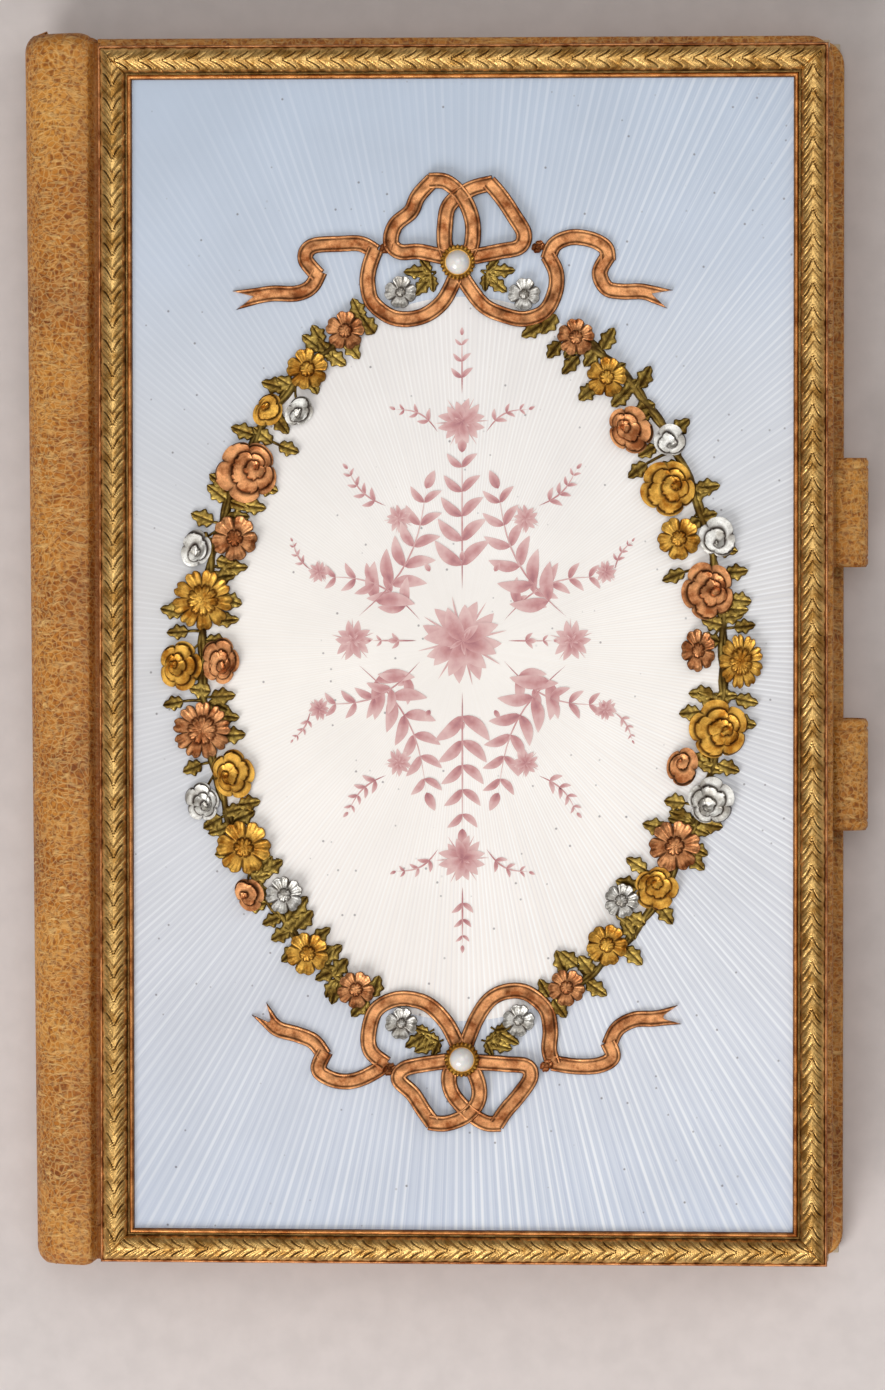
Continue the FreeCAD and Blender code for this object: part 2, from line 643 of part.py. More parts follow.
RAIL_X = f"({OUTER_X} - fillet_width - band_width / 2)"
RAIL_Y = f"({OUTER_Y} - fillet_width - band_width / 2)"
RAIL_ACROSS = f"2 * ({OUTER_X} - fillet_width)"
RAIL_ALONG = f"2 * ({OUTER_Y} - fillet_width)"
chased_rail("rail_top", RAIL_ACROSS, "0", f"{PLAQUE_Y} + {RAIL_Y}", 0)
chased_rail("rail_left", RAIL_ALONG, f"-{RAIL_X}", PLAQUE_Y, 90)
chased_rail("rail_bottom", RAIL_ACROSS, "0", f"{PLAQUE_Y} - {RAIL_Y}", 180)
chased_rail("rail_right", RAIL_ALONG, RAIL_X, PLAQUE_Y, 270)


# Small chased ornaments: faceted solids that stand on z = 0 about their own centre
BELLY_SHARE = 0.45
BUTTON_CROWN = 0.6
BUTTON_SIDES = 8
LEAF_BELLY = 0.42
PETAL_NOTCH = 0.72
TWIG_OVERRUN = 0.1
LEAF_OVERLAP = 0.4
BLOSSOM_RADIUS = 1.1


def ring_of(points, height):
    """A closed wire through plan points at one height."""
    wire = [V(x, y, height) for x, y in points]
    return Part.makePolygon(wire + wire[:1])


def petal_outline(count, radius, notch, turn=0.0, stretch=1.0):
    """A flower's outline: each petal has a notch and two shoulders."""
    points = []
    for petal in range(count):
        for share, reach in ((0.0, notch), (0.3, 1.0), (0.7, 1.0)):
            angle = turn + (petal + share) * 2 * math.pi / count
            points.append((radius * reach * math.cos(angle) * stretch,
                           radius * reach * math.sin(angle)))
    return points


def scaled(points, factor):
    return [(x * factor, y * factor) for x, y in points]


def tier(points, base, height, foot, crown):
    """One layer of petals: it widens from its foot to its rim and closes in above."""
    wires = [ring_of(scaled(points, foot), base), ring_of(points, base + BELLY_SHARE * height),
             ring_of(scaled(points, crown), base + height)]
    return Part.makeLoft(wires, True, True)


def button(radius, base, height):
    angles = [step * 2 * math.pi / BUTTON_SIDES for step in range(BUTTON_SIDES)]
    points = [(radius * math.cos(angle), radius * math.sin(angle)) for angle in angles]
    crown = ring_of(scaled(points, BUTTON_CROWN), base + height)
    return Part.makeLoft([ring_of(points, base), crown], True, True)


# Flower kinds: petals, notch depth and the tiers that close into a bud or a rose
def flower(kind, radius, stretch):
    height = value("flower_height")
    if kind == "rose":
        layers = [tier(petal_outline(5, radius, 0.86, 0.0, stretch), 0, 0.5 * height, 0.8, 0.84),
                  tier(petal_outline(4, 0.68 * radius, 0.88, 0.5, stretch), 0.5 * height,
                       0.35 * height, 0.95, 0.8),
                  tier(petal_outline(3, 0.38 * radius, 0.9, 1.1, stretch), 0.85 * height,
                       0.35 * height, 0.95, 0.6)]
    elif kind == "bud":
        layers = [tier(petal_outline(3, radius, 0.8, 0.4, stretch), 0, 0.6 * height, 0.7, 0.8),
                  tier(petal_outline(3, 0.55 * radius, 0.85, 1.2, stretch), 0.6 * height,
                       0.4 * height, 0.95, 0.6)]
    else:
        petals = {"four": 4, "five": 5, "six": 6, "daisy": 9}[kind]
        eye = {"four": 0.28, "five": 0.36, "six": 0.34, "daisy": 0.52}[kind]
        layers = [tier(petal_outline(petals, radius, PETAL_NOTCH, 0.3, stretch), 0, 0.6 * height, 0.75,
                       0.8),
                  button(eye * radius, 0.6 * height, 0.45 * height)]
    solid = layers[0].multiFuse(layers[1:]).removeSplitter()
    return solid


def laurel(length, breadth, height):
    """A leaf: a ridged kite from its root at the origin to its tip along +X."""
    root, tip = V(0, 0, 0), V(length, 0, 0)
    left, right = V(LEAF_BELLY * length, breadth / 2, 0), V(LEAF_BELLY * length, -breadth / 2, 0)
    ridge = V(LEAF_BELLY * length, 0, height)
    faces = [Part.Face(Part.makePolygon([root, left, tip, right, root]))]
    for start, end in ((root, right), (right, tip), (tip, left), (left, root)):
        faces.append(Part.Face(Part.makePolygon([start, end, ridge, start])))
    return Part.makeSolid(Part.makeShell(faces))


def turned(solid, x, y, z, degrees=0.0):
    solid = solid.copy()
    solid.Placement = FreeCAD.Placement(V(x, y, z), FreeCAD.Rotation(V(0, 0, 1), degrees))
    return solid


def ornament(label, solids, y, z=ENAMEL_TOP, x=PLAQUE_X):
    """A group of chased pieces of one metal, set on the plaque."""
    item = doc.addObject("Part::Feature", label)
    item.Shape = Part.makeCompound(solids)
    shifted(item, x, y, z)
    return finished(item, label)


# Garland: flowers at clock angles on the oval, from the head down, each with its distance outside it
LEFT_FLOWERS = [
    ("rose", "five", 26, 0.3, 1.35, 1.0), ("yellow", "five", 36.5, -0.1, 1.45, 1.0),
    ("yellow", "bud", 47, 0.3, 1.2, 0.8), ("white", "bud", 43.8, -1.9, 1.1, 0.8),
    ("rose", "rose", 58.2, -0.6, 2.1, 1.0), ("rose", "five", 69.6, -1.5, 1.6, 1.0),
    ("white", "bud", 72.8, 1.5, 1.3, 0.8), ("yellow", "daisy", 80.6, 0.2, 2.1, 1.0),
    ("yellow", "rose", 91, 1.8, 1.7, 0.85), ("rose", "rose", 90.2, -1.6, 1.6, 0.8),
    ("rose", "daisy", 101.2, 0.4, 2.0, 1.0), ("yellow", "rose", 109.2, -1.5, 1.7, 0.85),
    ("white", "rose", 112.2, 1.7, 1.35, 0.85), ("yellow", "six", 121.6, -0.3, 1.9, 1.0),
    ("rose", "bud", 129.2, 1.1, 1.2, 0.8), ("white", "five", 132.6, -1.4, 1.3, 1.0),
    ("yellow", "five", 144, 0.2, 1.5, 1.0), ("rose", "five", 155.9, 0.0, 1.3, 1.0)]
RIGHT_FLOWERS = [
    ("rose", "five", 26.4, -0.3, 1.3, 1.0), ("yellow", "five", 36.4, -1.2, 1.4, 1.0),
    ("rose", "rose", 47.4, -2.4, 1.7, 0.85), ("white", "bud", 52.8, 0.0, 1.1, 1.0),
    ("yellow", "rose", 60.2, -1.9, 1.9, 1.0), ("yellow", "five", 69.2, -2.4, 1.5, 1.0),
    ("white", "bud", 70.6, 0.8, 1.4, 0.9), ("rose", "rose", 78.8, -0.9, 2.0, 0.9),
    ("rose", "five", 88.4, -2.1, 1.5, 0.8), ("yellow", "daisy", 90.2, 1.5, 1.9, 0.8),
    ("yellow", "rose", 101, 0.0, 2.0, 1.0), ("rose", "bud", 108.2, -2.4, 1.35, 0.8),
    ("white", "rose", 112.4, 0.7, 1.6, 1.0), ("rose", "six", 121.6, -0.9, 1.8, 1.0),
    ("yellow", "rose", 129.9, -0.6, 1.5, 1.0), ("white", "five", 135.4, -2.5, 1.2, 1.0),
    ("yellow", "five", 144, -1.0, 1.45, 1.0), ("rose", "five", 155.9, -0.3, 1.3, 1.0)]
# Leaves by clock angle and distance outside the oval; each points away from the stem
LEFT_LEAVES = [
    (21.5, 1.5), (23, -1.4), (31, 1.6), (32, -1.6), (41, 1.5), (52, 1.7), (52, -1.9), (64, 1.9),
    (64, -2.9), (75.5, -2.4), (86, -2.6), (84.5, 2.6), (96.5, -2.2), (96.5, 2.7), (106, 2.4),
    (105, -2.5), (116, -2.4), (117.5, 1.9), (127, -2.2), (136, -2.2), (138, 1.9), (148.5, -1.9),
    (151, 1.6), (158, -1.7), (157.5, 1.7)]
RIGHT_LEAVES = [
    (22.5, 1.4), (24, -1.8), (31, 1.5), (31, -2.8), (42, 1.2), (41.5, -2.7), (54, -3.6), (65, 1.4),
    (74.5, -3.4), (75.5, 2.4), (84.5, 2.5), (84, -2.6), (95.5, 2.6), (95.5, -2.6), (106.5, 2.3),
    (114.5, -2.3), (118, 2.1), (128.5, -2.9), (126, 1.9), (136, 1.3), (139.5, -2.9), (150.5, -2.4),
    (151, 1.3), (157.5, -1.7), (157.5, 1.6)]
GARLAND_START, GARLAND_END, STEM_STEPS = 23.5, 157.5, 22


def garland_point(side, clock, outside):
    """A place near the oval, and the direction that leads straight away from it."""
    half_width, half_height = value(OVAL_X), value(OVAL_Y)
    angle = math.radians(clock)
    x, y = half_width * math.sin(angle), half_height * math.cos(angle)
    away = V(x / half_width ** 2, y / half_height ** 2, 0).normalize()
    return V(side * (x + outside * away.x), y + outside * away.y, 0), V(side * away.x, away.y, 0)


def strip(points, width, height):
    """A flat strip of one width along a run of plan points."""
    left, right = [], []
    for index, point in enumerate(points):
        along = points[min(index + 1, len(points) - 1)] - points[max(index - 1, 0)]
        across = V(-along.y, along.x, 0).normalize() * (width / 2)
        left.append(point + across)
        right.append(point - across)
    edge = left + right[::-1]
    return Part.Face(Part.makePolygon(edge + edge[:1])).extrude(V(0, 0, height))


def garland_stem(side, flowers, leaves):
    """The stem along the oval, with a twig to each flower and to each leaf."""
    width, height = value("stem_width"), value("stem_height")
    length, breadth = value("leaf_length"), value("leaf_breadth")
    step = (GARLAND_END - GARLAND_START) / STEM_STEPS
    run = [garland_point(side, GARLAND_START + index * step, 0)[0] for index in range(STEM_STEPS + 1)]
    pieces = [strip(run, width, height)]
    for clock, outside in [row[2:4] for row in flowers]:
        centre = garland_point(side, clock, outside)[0]
        root = garland_point(side, clock, 0)[0]
        if abs(outside) > width / 2:
            pieces.append(strip([root, centre + (centre - root) * TWIG_OVERRUN], width, height))
    for clock, outside in leaves:
        root, away = garland_point(side, clock, 0)
        heading = away if outside > 0 else -away
        reach = abs(outside) - length / 2
        angle = math.degrees(math.atan2(heading.y, heading.x))
        if reach > 0:
            end = root + heading * (reach + length * LEAF_OVERLAP)
            pieces.append(strip([root, end], width / 2, height / 2))
        start = root + heading * max(reach, 0)
        pieces.append(turned(laurel(length, breadth, height), start.x, start.y, 0, angle))
    return pieces[0].multiFuse(pieces[1:]).removeSplitter()


for name, side, flowers, leaves in (("left", -1, LEFT_FLOWERS, LEFT_LEAVES),
                                    ("right", 1, RIGHT_FLOWERS, RIGHT_LEAVES)):
    ornament(f"garland_stem_{name}", [garland_stem(side, flowers, leaves)], OVAL_CENTRE)
    for metal in ("rose", "yellow", "white"):
        heads = []
        for colour, kind, clock, outside, radius, stretch in flowers:
            if colour == metal:
                centre, away = garland_point(side, clock, outside)
                angle = math.degrees(math.atan2(away.y, away.x))
                heads.append(turned(flower(kind, radius, stretch), centre.x, centre.y, 0, angle))
        ornament(f"garland_{metal}_flowers_{name}", heads, OVAL_CENTRE,
                 f"{ENAMEL_TOP} + stem_height")

# Ribbon bows: each run of ribbon as points from the pearl's centre, with y up for the head's bow
BOW_TOP = {
    "streamers": [
        [(-18.2, -3.0), (-15.9, -2.6), (-13.8, -2.6), (-12.5, -2.0), (-11.8, -0.7)],
        [(-11.9, -1.1), (-13.0, 0.3), (-12.4, 1.4), (-10.0, 1.6), (-8.3, 1.6), (-7.0, 0.9)],
        [(-7.0, 1.2), (-7.6, -0.5), (-7.7, -2.0), (-7.2, -3.5), (-5.4, -4.7), (-3.2, -4.6), (-1.4, -3.4),
         (-0.2, -1.2)],
        [(7.6, 0.2), (8.2, 1.5), (9.6, 2.1), (11.3, 1.9), (12.5, 1.2), (12.7, 0.1)],
        [(12.7, 0.5), (12.0, -0.9), (12.6, -2.2), (13.9, -2.5), (15.6, -2.5), (17.1, -2.9)],
        [(7.6, 0.6), (8.3, -0.9), (8.2, -2.6), (7.3, -4.2), (5.6, -4.8), (3.7, -4.4), (2.0, -3.5),
         (0.3, -1.2)]],
    "loops": [
        [(-0.6, 0.3), (-3.2, 0.9), (-4.9, 0.9), (-5.7, 1.7), (-5.3, 3.2), (-4.0, 4.3), (-3.4, 5.6),
         (-2.1, 7.0)],
        [(-2.5, 6.9), (-1.0, 6.8), (0.4, 5.5), (1.2, 3.6), (1.2, 1.6), (0.6, 0.3)],
        [(0.4, 0.3), (3.5, 0.9), (5.2, 1.3), (5.6, 2.4), (4.7, 4.0), (3.7, 5.5), (2.6, 6.8)],
        [(3.0, 6.7), (1.1, 6.2), (-0.7, 4.9), (-1.1, 3.2), (-1.1, 1.4), (-0.6, 0.3)]],
    "blossoms": [(-4.9, -2.5), (5.6, -2.7)],
    "sprigs": [((-1.9, -0.8), (-4.1, -0.7)), ((-1.9, -0.8), (-3.4, -2.3)), ((1.9, -0.7), (4.6, -0.8)),
               ((1.9, -0.7), (3.8, -2.4))]}
BOW_TAIL = {
    "streamers": [
        [(-16.8, 3.5), (-15.8, 2.5), (-14.1, 2.0), (-12.7, 1.4), (-11.8, 0.2)],
        [(-11.7, 0.6), (-12.3, -0.9), (-11.4, -1.7), (-10.0, -2.0), (-8.6, -1.7), (-7.1, -0.9),
         (-6.5, -0.2)],
        [(-6.5, -0.5), (-7.8, 0.6), (-8.0, 2.2), (-7.3, 4.2), (-5.4, 5.1), (-3.1, 4.7), (-1.4, 3.1),
         (-0.4, 1.2)],
        [(17.6, 3.7), (16.3, 3.5), (14.6, 3.4), (13.2, 2.6), (12.5, 1.2)],
        [(12.4, 1.5), (12.8, 0.2), (11.6, -0.5), (9.7, -0.6), (7.6, -0.3)],
        [(7.8, -0.5), (7.4, 0.8), (7.5, 2.5), (7.1, 4.3), (5.6, 5.6), (4.0, 5.8), (2.4, 5.1), (1.2, 3.4),
         (0.3, 1.2)]],
    "loops": [
        [(-0.8, -0.1), (-3.5, -0.5), (-5.0, -0.9), (-5.4, -1.8), (-4.2, -3.0), (-3.3, -4.4), (-2.5, -5.5)],
        [(-2.9, -5.4), (-1.4, -5.5), (0.2, -4.9), (1.3, -3.7), (1.4, -2.2), (0.7, -0.4)],
        [(0.8, -0.2), (3.7, -0.4), (5.5, -0.6), (5.8, -1.6), (4.8, -3.1), (3.7, -4.4), (2.9, -5.6)],
        [(3.3, -5.5), (1.9, -5.4), (0.3, -4.3), (-0.9, -2.8), (-1.1, -1.3), (-0.5, -0.3)]],
    "blossoms": [(-5.2, 3.0), (4.8, 3.3)],
    "sprigs": [((-2.4, 2.5), (-4.7, 1.2)), ((-1.6, 1.6), (-3.6, 0.9)), ((2.4, 2.7), (4.4, 1.4)),
               ((1.6, 1.6), (3.7, 0.9))]}
STEPS_PER_POINT = 2


def ribbon_run(points):
    """A flat ribbon along a smooth curve through its points."""
    curve = Part.BSplineCurve()
    curve.interpolate([V(x, y, 0) for x, y in points])
    steps = STEPS_PER_POINT * (len(points) - 1)
    first, last = curve.FirstParameter, curve.LastParameter
    run = [curve.value(first + (last - first) * index / steps) for index in range(steps + 1)]
    return strip(run, value("ribbon_width"), value("ribbon_thickness"))


def ribbon_layer(runs):
    """Runs of ribbon joined by the knot under the pearl."""
    knot = Part.makeCylinder(value("knot_radius"), value("ribbon_thickness"))
    return knot.multiFuse([ribbon_run(points) for points in runs]).removeSplitter()


def pearl_cup(label, x, y, z):
    """A turned cup with a cut edge, round the seat of the pearl."""
    cup = new_body(label, x, y, z)
    rim = new_sketch(cup, "rim", "XY_Plane", "0")
    add_circle(rim, "0", "0", "cup_radius")
    pad(cup, rim, "blank", "cup_floor + cup_wall_height")
    seat = new_sketch(cup, "seat", "XY_Plane", "cup_floor + cup_wall_height")
    add_circle(seat, "0", "0", "pearl_radius + pearl_clearance")
    pocket(cup, seat, "bore", "cup_wall_height")
    notch = new_sketch(cup, "notch", "XY_Plane", "cup_floor + cup_wall_height")
    add_outline(notch, [("cup_radius - tooth_depth", "0"), ("cup_radius + tooth_depth", "-tooth_half_width"),
                        ("cup_radius + tooth_depth", "tooth_half_width")])
    cut = pocket(cup, notch, "nick", "cup_wall_height")
    ring_of_nicks = cup.newObject("PartDesign::PolarPattern", f"{label}_teeth")
    ring_of_nicks.Originals = [cut]
    ring_of_nicks.Axis = (rim, ["N_Axis"])
    ring_of_nicks.Angle = 360
    ring_of_nicks.Occurrences = int(value("tooth_count"))
    cup.Tip = ring_of_nicks
    doc.recompute()
    return finished(cup, label)


def half_pearl(label, x, y, z):
    pearl = doc.addObject("Part::Sphere", label)
    pearl.setExpression("Radius", bound("pearl_radius"))
    pearl.Angle1 = 0
    shifted(pearl, x, y, z)
    return finished(pearl, label)


BOWS = [("top", BOW_TOP, f"({PLAQUE_Y} + {OPENING_Y} - bow_top_drop)"),
        ("tail", BOW_TAIL, f"({PLAQUE_Y} - {OPENING_Y} + bow_tail_rise)")]
for name, bow, y in BOWS:
    x = f"({PLAQUE_X} + bow_{name}_shift)"
    loops_z = f"{ENAMEL_TOP} + ribbon_thickness"
    cup_z = f"{ENAMEL_TOP} + 2 * ribbon_thickness"
    ornament(f"bow_{name}_streamers", [ribbon_layer(bow["streamers"])], y, ENAMEL_TOP, x)
    ornament(f"bow_{name}_loops", [ribbon_layer(bow["loops"])], y, loops_z, x)
    blossoms = [turned(flower("four", BLOSSOM_RADIUS, 1.0), across, up, 0)
                for across, up in bow["blossoms"]]
    ornament(f"bow_{name}_blossoms", blossoms, y, ENAMEL_TOP, x)
    sprigs = []
    for root, tip in bow["sprigs"]:
        reach = V(tip[0] - root[0], tip[1] - root[1], 0)
        leaf = laurel(reach.Length, value("leaf_breadth"), value("stem_height"))
        sprigs.append(turned(leaf, root[0], root[1], 0, math.degrees(math.atan2(reach.y, reach.x))))
    pairs = [sprigs[0].fuse(sprigs[1]), sprigs[2].fuse(sprigs[3])]
    ornament(f"bow_{name}_sprigs", pairs, y, ENAMEL_TOP, x)
    pearl_cup(f"pearl_cup_{name}", x, y, cup_z)
    half_pearl(f"pearl_{name}", x, y, f"{cup_z} + cup_floor")

# Checks on every object, then one file for each sub-part
doc.recompute()
for item in doc.Objects:
    if "Invalid" in item.State or "Error" in item.State:
        raise RuntimeError(f"{item.Label}: {item.State}")
for item in sub_parts:
    if item.Shape.isNull() or not item.Shape.isValid():
        raise RuntimeError(f"{item.Label} has no valid shape")
for item in sub_parts:
    item.Shape.exportStep(f"parts/{item.Label}.step")
    box = item.Shape.BoundBox
    print(f"{item.Label:20s} {len(item.Shape.Solids)} solids {item.Shape.Volume:9.3f} mm3 "
          f"x {box.XMin:.2f} {box.XMax:.2f} y {box.YMin:.2f} {box.YMax:.2f} z {box.ZMin:.2f} {box.ZMax:.2f}")
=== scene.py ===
import json
import math
from math import cos, exp, pi, sin, sqrt

import bmesh
import bpy
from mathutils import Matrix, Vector, noise

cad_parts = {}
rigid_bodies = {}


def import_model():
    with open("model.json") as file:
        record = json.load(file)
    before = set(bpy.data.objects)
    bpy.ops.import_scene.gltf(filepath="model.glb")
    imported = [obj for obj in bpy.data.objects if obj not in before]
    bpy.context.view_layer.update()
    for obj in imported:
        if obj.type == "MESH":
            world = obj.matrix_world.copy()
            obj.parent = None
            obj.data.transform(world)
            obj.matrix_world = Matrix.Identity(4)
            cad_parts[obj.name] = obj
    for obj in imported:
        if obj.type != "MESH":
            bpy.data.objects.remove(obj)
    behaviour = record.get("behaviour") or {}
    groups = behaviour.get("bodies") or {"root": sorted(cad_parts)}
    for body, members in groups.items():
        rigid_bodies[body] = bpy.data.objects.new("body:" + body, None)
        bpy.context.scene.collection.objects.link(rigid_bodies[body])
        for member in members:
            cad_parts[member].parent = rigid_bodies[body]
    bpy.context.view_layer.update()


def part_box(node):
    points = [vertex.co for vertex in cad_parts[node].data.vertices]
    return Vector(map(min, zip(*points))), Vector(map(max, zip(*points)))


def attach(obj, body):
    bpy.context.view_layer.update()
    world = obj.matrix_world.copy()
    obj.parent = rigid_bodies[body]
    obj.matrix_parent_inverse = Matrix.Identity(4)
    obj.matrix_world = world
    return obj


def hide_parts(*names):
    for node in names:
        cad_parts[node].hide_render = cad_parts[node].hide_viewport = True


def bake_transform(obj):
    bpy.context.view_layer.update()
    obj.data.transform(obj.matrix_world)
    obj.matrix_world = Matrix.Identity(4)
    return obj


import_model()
mm = 0.001

# View: the case lies on its back cover and is seen from above, a little from its fore edge and its
# head, so that the back cover shows past the front one.
camera_data = bpy.data.cameras.new("camera")
camera_data.lens = 179.5
camera_data.clip_start = 10 * mm
camera_data.clip_end = 10.0
camera = bpy.data.objects.new("camera", camera_data)
camera.location = (39.96 * mm, 17.74 * mm, 596.9 * mm)
camera.rotation_euler = [math.radians(angle) for angle in (-2.08, 3.887, -0.048)]
bpy.context.scene.collection.objects.link(camera)
bpy.context.scene.camera = camera
bpy.context.scene.view_settings.view_transform = "Standard"


# Light: a large soft panel overhead, a key panel low at the tail and spine side, a weak one
# opposite and an even room light, which together show a colour about as it is written.
def soft_panel(name, place, size, watts):
    """A square panel of light that faces the middle of the case."""
    data = bpy.data.lights.new(name, "AREA")
    data.size = size
    data.energy = watts
    panel = bpy.data.objects.new(name, data)
    panel.location = place
    panel.rotation_euler = Vector(place).to_track_quat("Z", "Y").to_euler()
    bpy.context.scene.collection.objects.link(panel)


soft_panel("key_panel", (-0.38, -0.62, 0.56), 0.5, 5.4)
soft_panel("overhead_panel", (0.1, 0.25, 1.3), 0.9, 4.6)
soft_panel("far_panel", (0.7, 0.45, 0.5), 0.5, 1.3)
ROOM_LIGHT = 0.40


def node(tree, kind, sockets=None, **settings):
    """Adds a node whose sockets take plain values or other nodes' outputs."""
    made = tree.nodes.new("ShaderNode" + kind)
    for name, setting in settings.items():
        setattr(made, name, setting)
    for socket, value in (sockets or {}).items():
        if isinstance(value, bpy.types.NodeSocket):
            tree.links.new(value, made.inputs[socket])
        else:
            made.inputs[socket].default_value = value
    return made


def out(tree, kind, sockets=None, output=0, **settings):
    return node(tree, kind, sockets, **settings).outputs[output]


def maths(tree, operation, first, second=0.0, third=0.0, clamp=False):
    return out(tree, "Math", {0: first, 1: second, 2: third}, operation=operation, use_clamp=clamp)


def times(tree, first, second):
    return maths(tree, "MULTIPLY", first, second)


def mixed(tree, share, first, second, blend="MIX"):
    """Two colours mixed by a share, which may be a socket; the second may be a plain colour."""
    if isinstance(second, tuple):
        second = (*second, 1)
    return out(tree, "Mix", {"Factor": share, 6: first, 7: second}, 2, data_type="RGBA",
               blend_type=blend, clamp_factor=True)


def shaded(tree, tone, shade):
    """A colour darkened by another one."""
    return mixed(tree, 1.0, tone, shade, "MULTIPLY")


def grain(tree, place, scale, detail=2.0, output=0, **sockets):
    """Fractal noise over a coordinate."""
    noise_sockets = {"Vector": place, "Scale": scale, "Detail": detail, **sockets}
    return out(tree, "TexNoise", noise_sockets, output)


def own_place(tree):
    return out(tree, "TexCoord", output="Object")


def ramp(tree, value, stops):
    """A colour ramp through (place, grey or colour) stops."""
    made = node(tree, "ValToRGB", {"Fac": value})
    while len(made.color_ramp.elements) < len(stops):
        made.color_ramp.elements.new(0.5)
    for element, (place, colour) in zip(made.color_ramp.elements, stops):
        element.position = place
        element.color = (*colour, 1) if isinstance(colour, tuple) else (colour, colour, colour, 1)
    return made.outputs["Color"]


def scaled_place(tree, place, scale, turn=0.0):
    """A coordinate turned about Z and stretched, so that a pattern on it is drawn out."""
    return out(tree, "Mapping", {"Vector": place, "Rotation": (0, 0, turn), "Scale": scale})


def new_material(name, **values):
    """A material with its Principled shader; plain numbers go on the shader's own sockets."""
    made = bpy.data.materials.new(name)
    made.use_nodes = True
    shader = made.node_tree.nodes["Principled BSDF"]
    for socket, value in values.items():
        shader.inputs[socket.replace("_", " ")].default_value = value
    return made, made.node_tree, shader


def coat(tree, shader, tone, relief=None, strength=0.5, depth=0.02):
    """Gives a shader its colour and, if there is one, a relief so many millimetres deep."""
    tree.links.new(tone, shader.inputs["Base Color"])
    if relief is not None:
        normal = out(tree, "Bump", {"Strength": strength, "Distance": depth * mm,
                                    "Height": relief})
        tree.links.new(normal, shader.inputs["Normal"])


world = bpy.data.worlds.new("room")
bpy.context.scene.world = world
world.use_nodes = True
room = world.node_tree
rise = out(room, "SeparateXYZ", {"Vector": out(room, "TexCoord", output="Generated")}, "Z")
walls = ramp(room, rise, [(0.0, (0.30, 0.27, 0.25)), (0.45, (0.55, 0.53, 0.51)),
                          (0.9, (1.0, 0.985, 0.965))])
room.links.new(walls, room.nodes["Background"].inputs["Color"])
room.nodes["Background"].inputs["Strength"].default_value = ROOM_LIGHT


# Floor: one plain pale sheet of card under the case, a little darker beyond the case's head as
# painted shade of the light falling off there. It is matt, with faint fibres.
def primitive(kind, name, **sizes):
    """Adds a primitive as the only selected object, under a plain name."""
    bpy.ops.object.select_all(action="DESELECT")
    getattr(bpy.ops.mesh, f"primitive_{kind}_add")(**sizes)
    piece = bpy.context.object
    piece.name = name
    piece.data.name = name
    return piece


FLOOR_SIZE, FLOOR_GAP = 4.0, 0.05 * mm
floor = primitive("plane", "floor", size=FLOOR_SIZE, location=(0, 0, -FLOOR_GAP))
floor_finish, tree, shader = new_material("floor_card", Roughness=0.9, Specular_IOR_Level=0.1)
place = own_place(tree)
# Painted shade: the card is darker towards the case's head and beyond it.
north = out(tree, "SeparateXYZ", {"Vector": place}, "Y")
shade = maths(tree, "MULTIPLY_ADD", north, 5.0, 0.5, clamp=True)
tone = ramp(tree, shade, [(0.0, (0.74, 0.675, 0.655)), (1.0, (0.56, 0.51, 0.49))])
fibres = ramp(tree, grain(tree, place, 420.0, 6.0), [(0.35, 0.94), (0.65, 1.0)])
coat(tree, shader, shaded(tree, tone, fibres))
floor.data.materials.append(floor_finish)


# Leather of the covers: tan goatskin with a crinkled grain, pared thin, pasted round the boards and
# turned in over their edges. It is lighter on the crests of the grain, and painted shade darkens it
# in the joints, at its edges and at its ends.
def rgb(red, green, blue):
    """A colour as seen, 0 to 255, as the scene's linear one."""
    def linear(value):
        value /= 255
        return value / 12.92 if value <= 0.04045 else ((value + 0.055) / 1.055) ** 2.4
    return (linear(red), linear(green), linear(blue))


leather, tree, shader = new_material("tan_leather", Roughness=0.5, Specular_IOR_Level=0.35)
GRAIN_WANDER = 0.0016
place = out(tree, "Attribute", output="Vector", attribute_name="grain_place")
shade_and_tooling = out(tree, "Attribute", output="Fac", attribute_name="shade_and_tooling")
wander = grain(tree, place, 260.0, 2.0, "Color")
bent = out(tree, "VectorMath", {0: wander, 1: (GRAIN_WANDER,) * 3}, operation="MULTIPLY")
bent = out(tree, "VectorMath", {0: place, 1: bent}, operation="ADD")
crests = []
for turn, stretch in ((0.55, 0.2), (0.1, 0.34)):
    drawn = scaled_place(tree, bent, (stretch, 1.0, 1.0), turn)
    streak = grain(tree, drawn, 3000.0, 4.0, Roughness=0.6, Distortion=0.7)
    crests.append(ramp(tree, streak, [(0.52, 0.0), (0.6, 0.55), (0.7, 1.0)]))
choice = ramp(tree, grain(tree, place, 150.0), [(0.46, 0.0), (0.58, 1.0)])
pebbles = out(tree, "TexVoronoi", {"Vector": bent, "Scale": 1900.0}, "Distance",
              feature="DISTANCE_TO_EDGE")
net = ramp(tree, pebbles, [(0.0, 0.5), (0.07, 0.25), (0.14, 0.0)])
crest_line = maths(tree, "MAXIMUM", mixed(tree, choice, *crests), net)
hollows = grain(tree, bent, 2600.0, 3.0)
hollow = ramp(tree, hollows, [(0.38, (0.5, 0.38, 0.26)), (0.54, 1.0)])
ground = ramp(tree, grain(tree, place, 95.0, 4.0),
              [(0.34, rgb(150, 84, 20)), (0.5, rgb(184, 114, 36)), (0.68, rgb(206, 140, 56))])
tone = mixed(tree, times(tree, crest_line, 0.72), shaded(tree, ground, hollow), rgb(246, 202, 128))
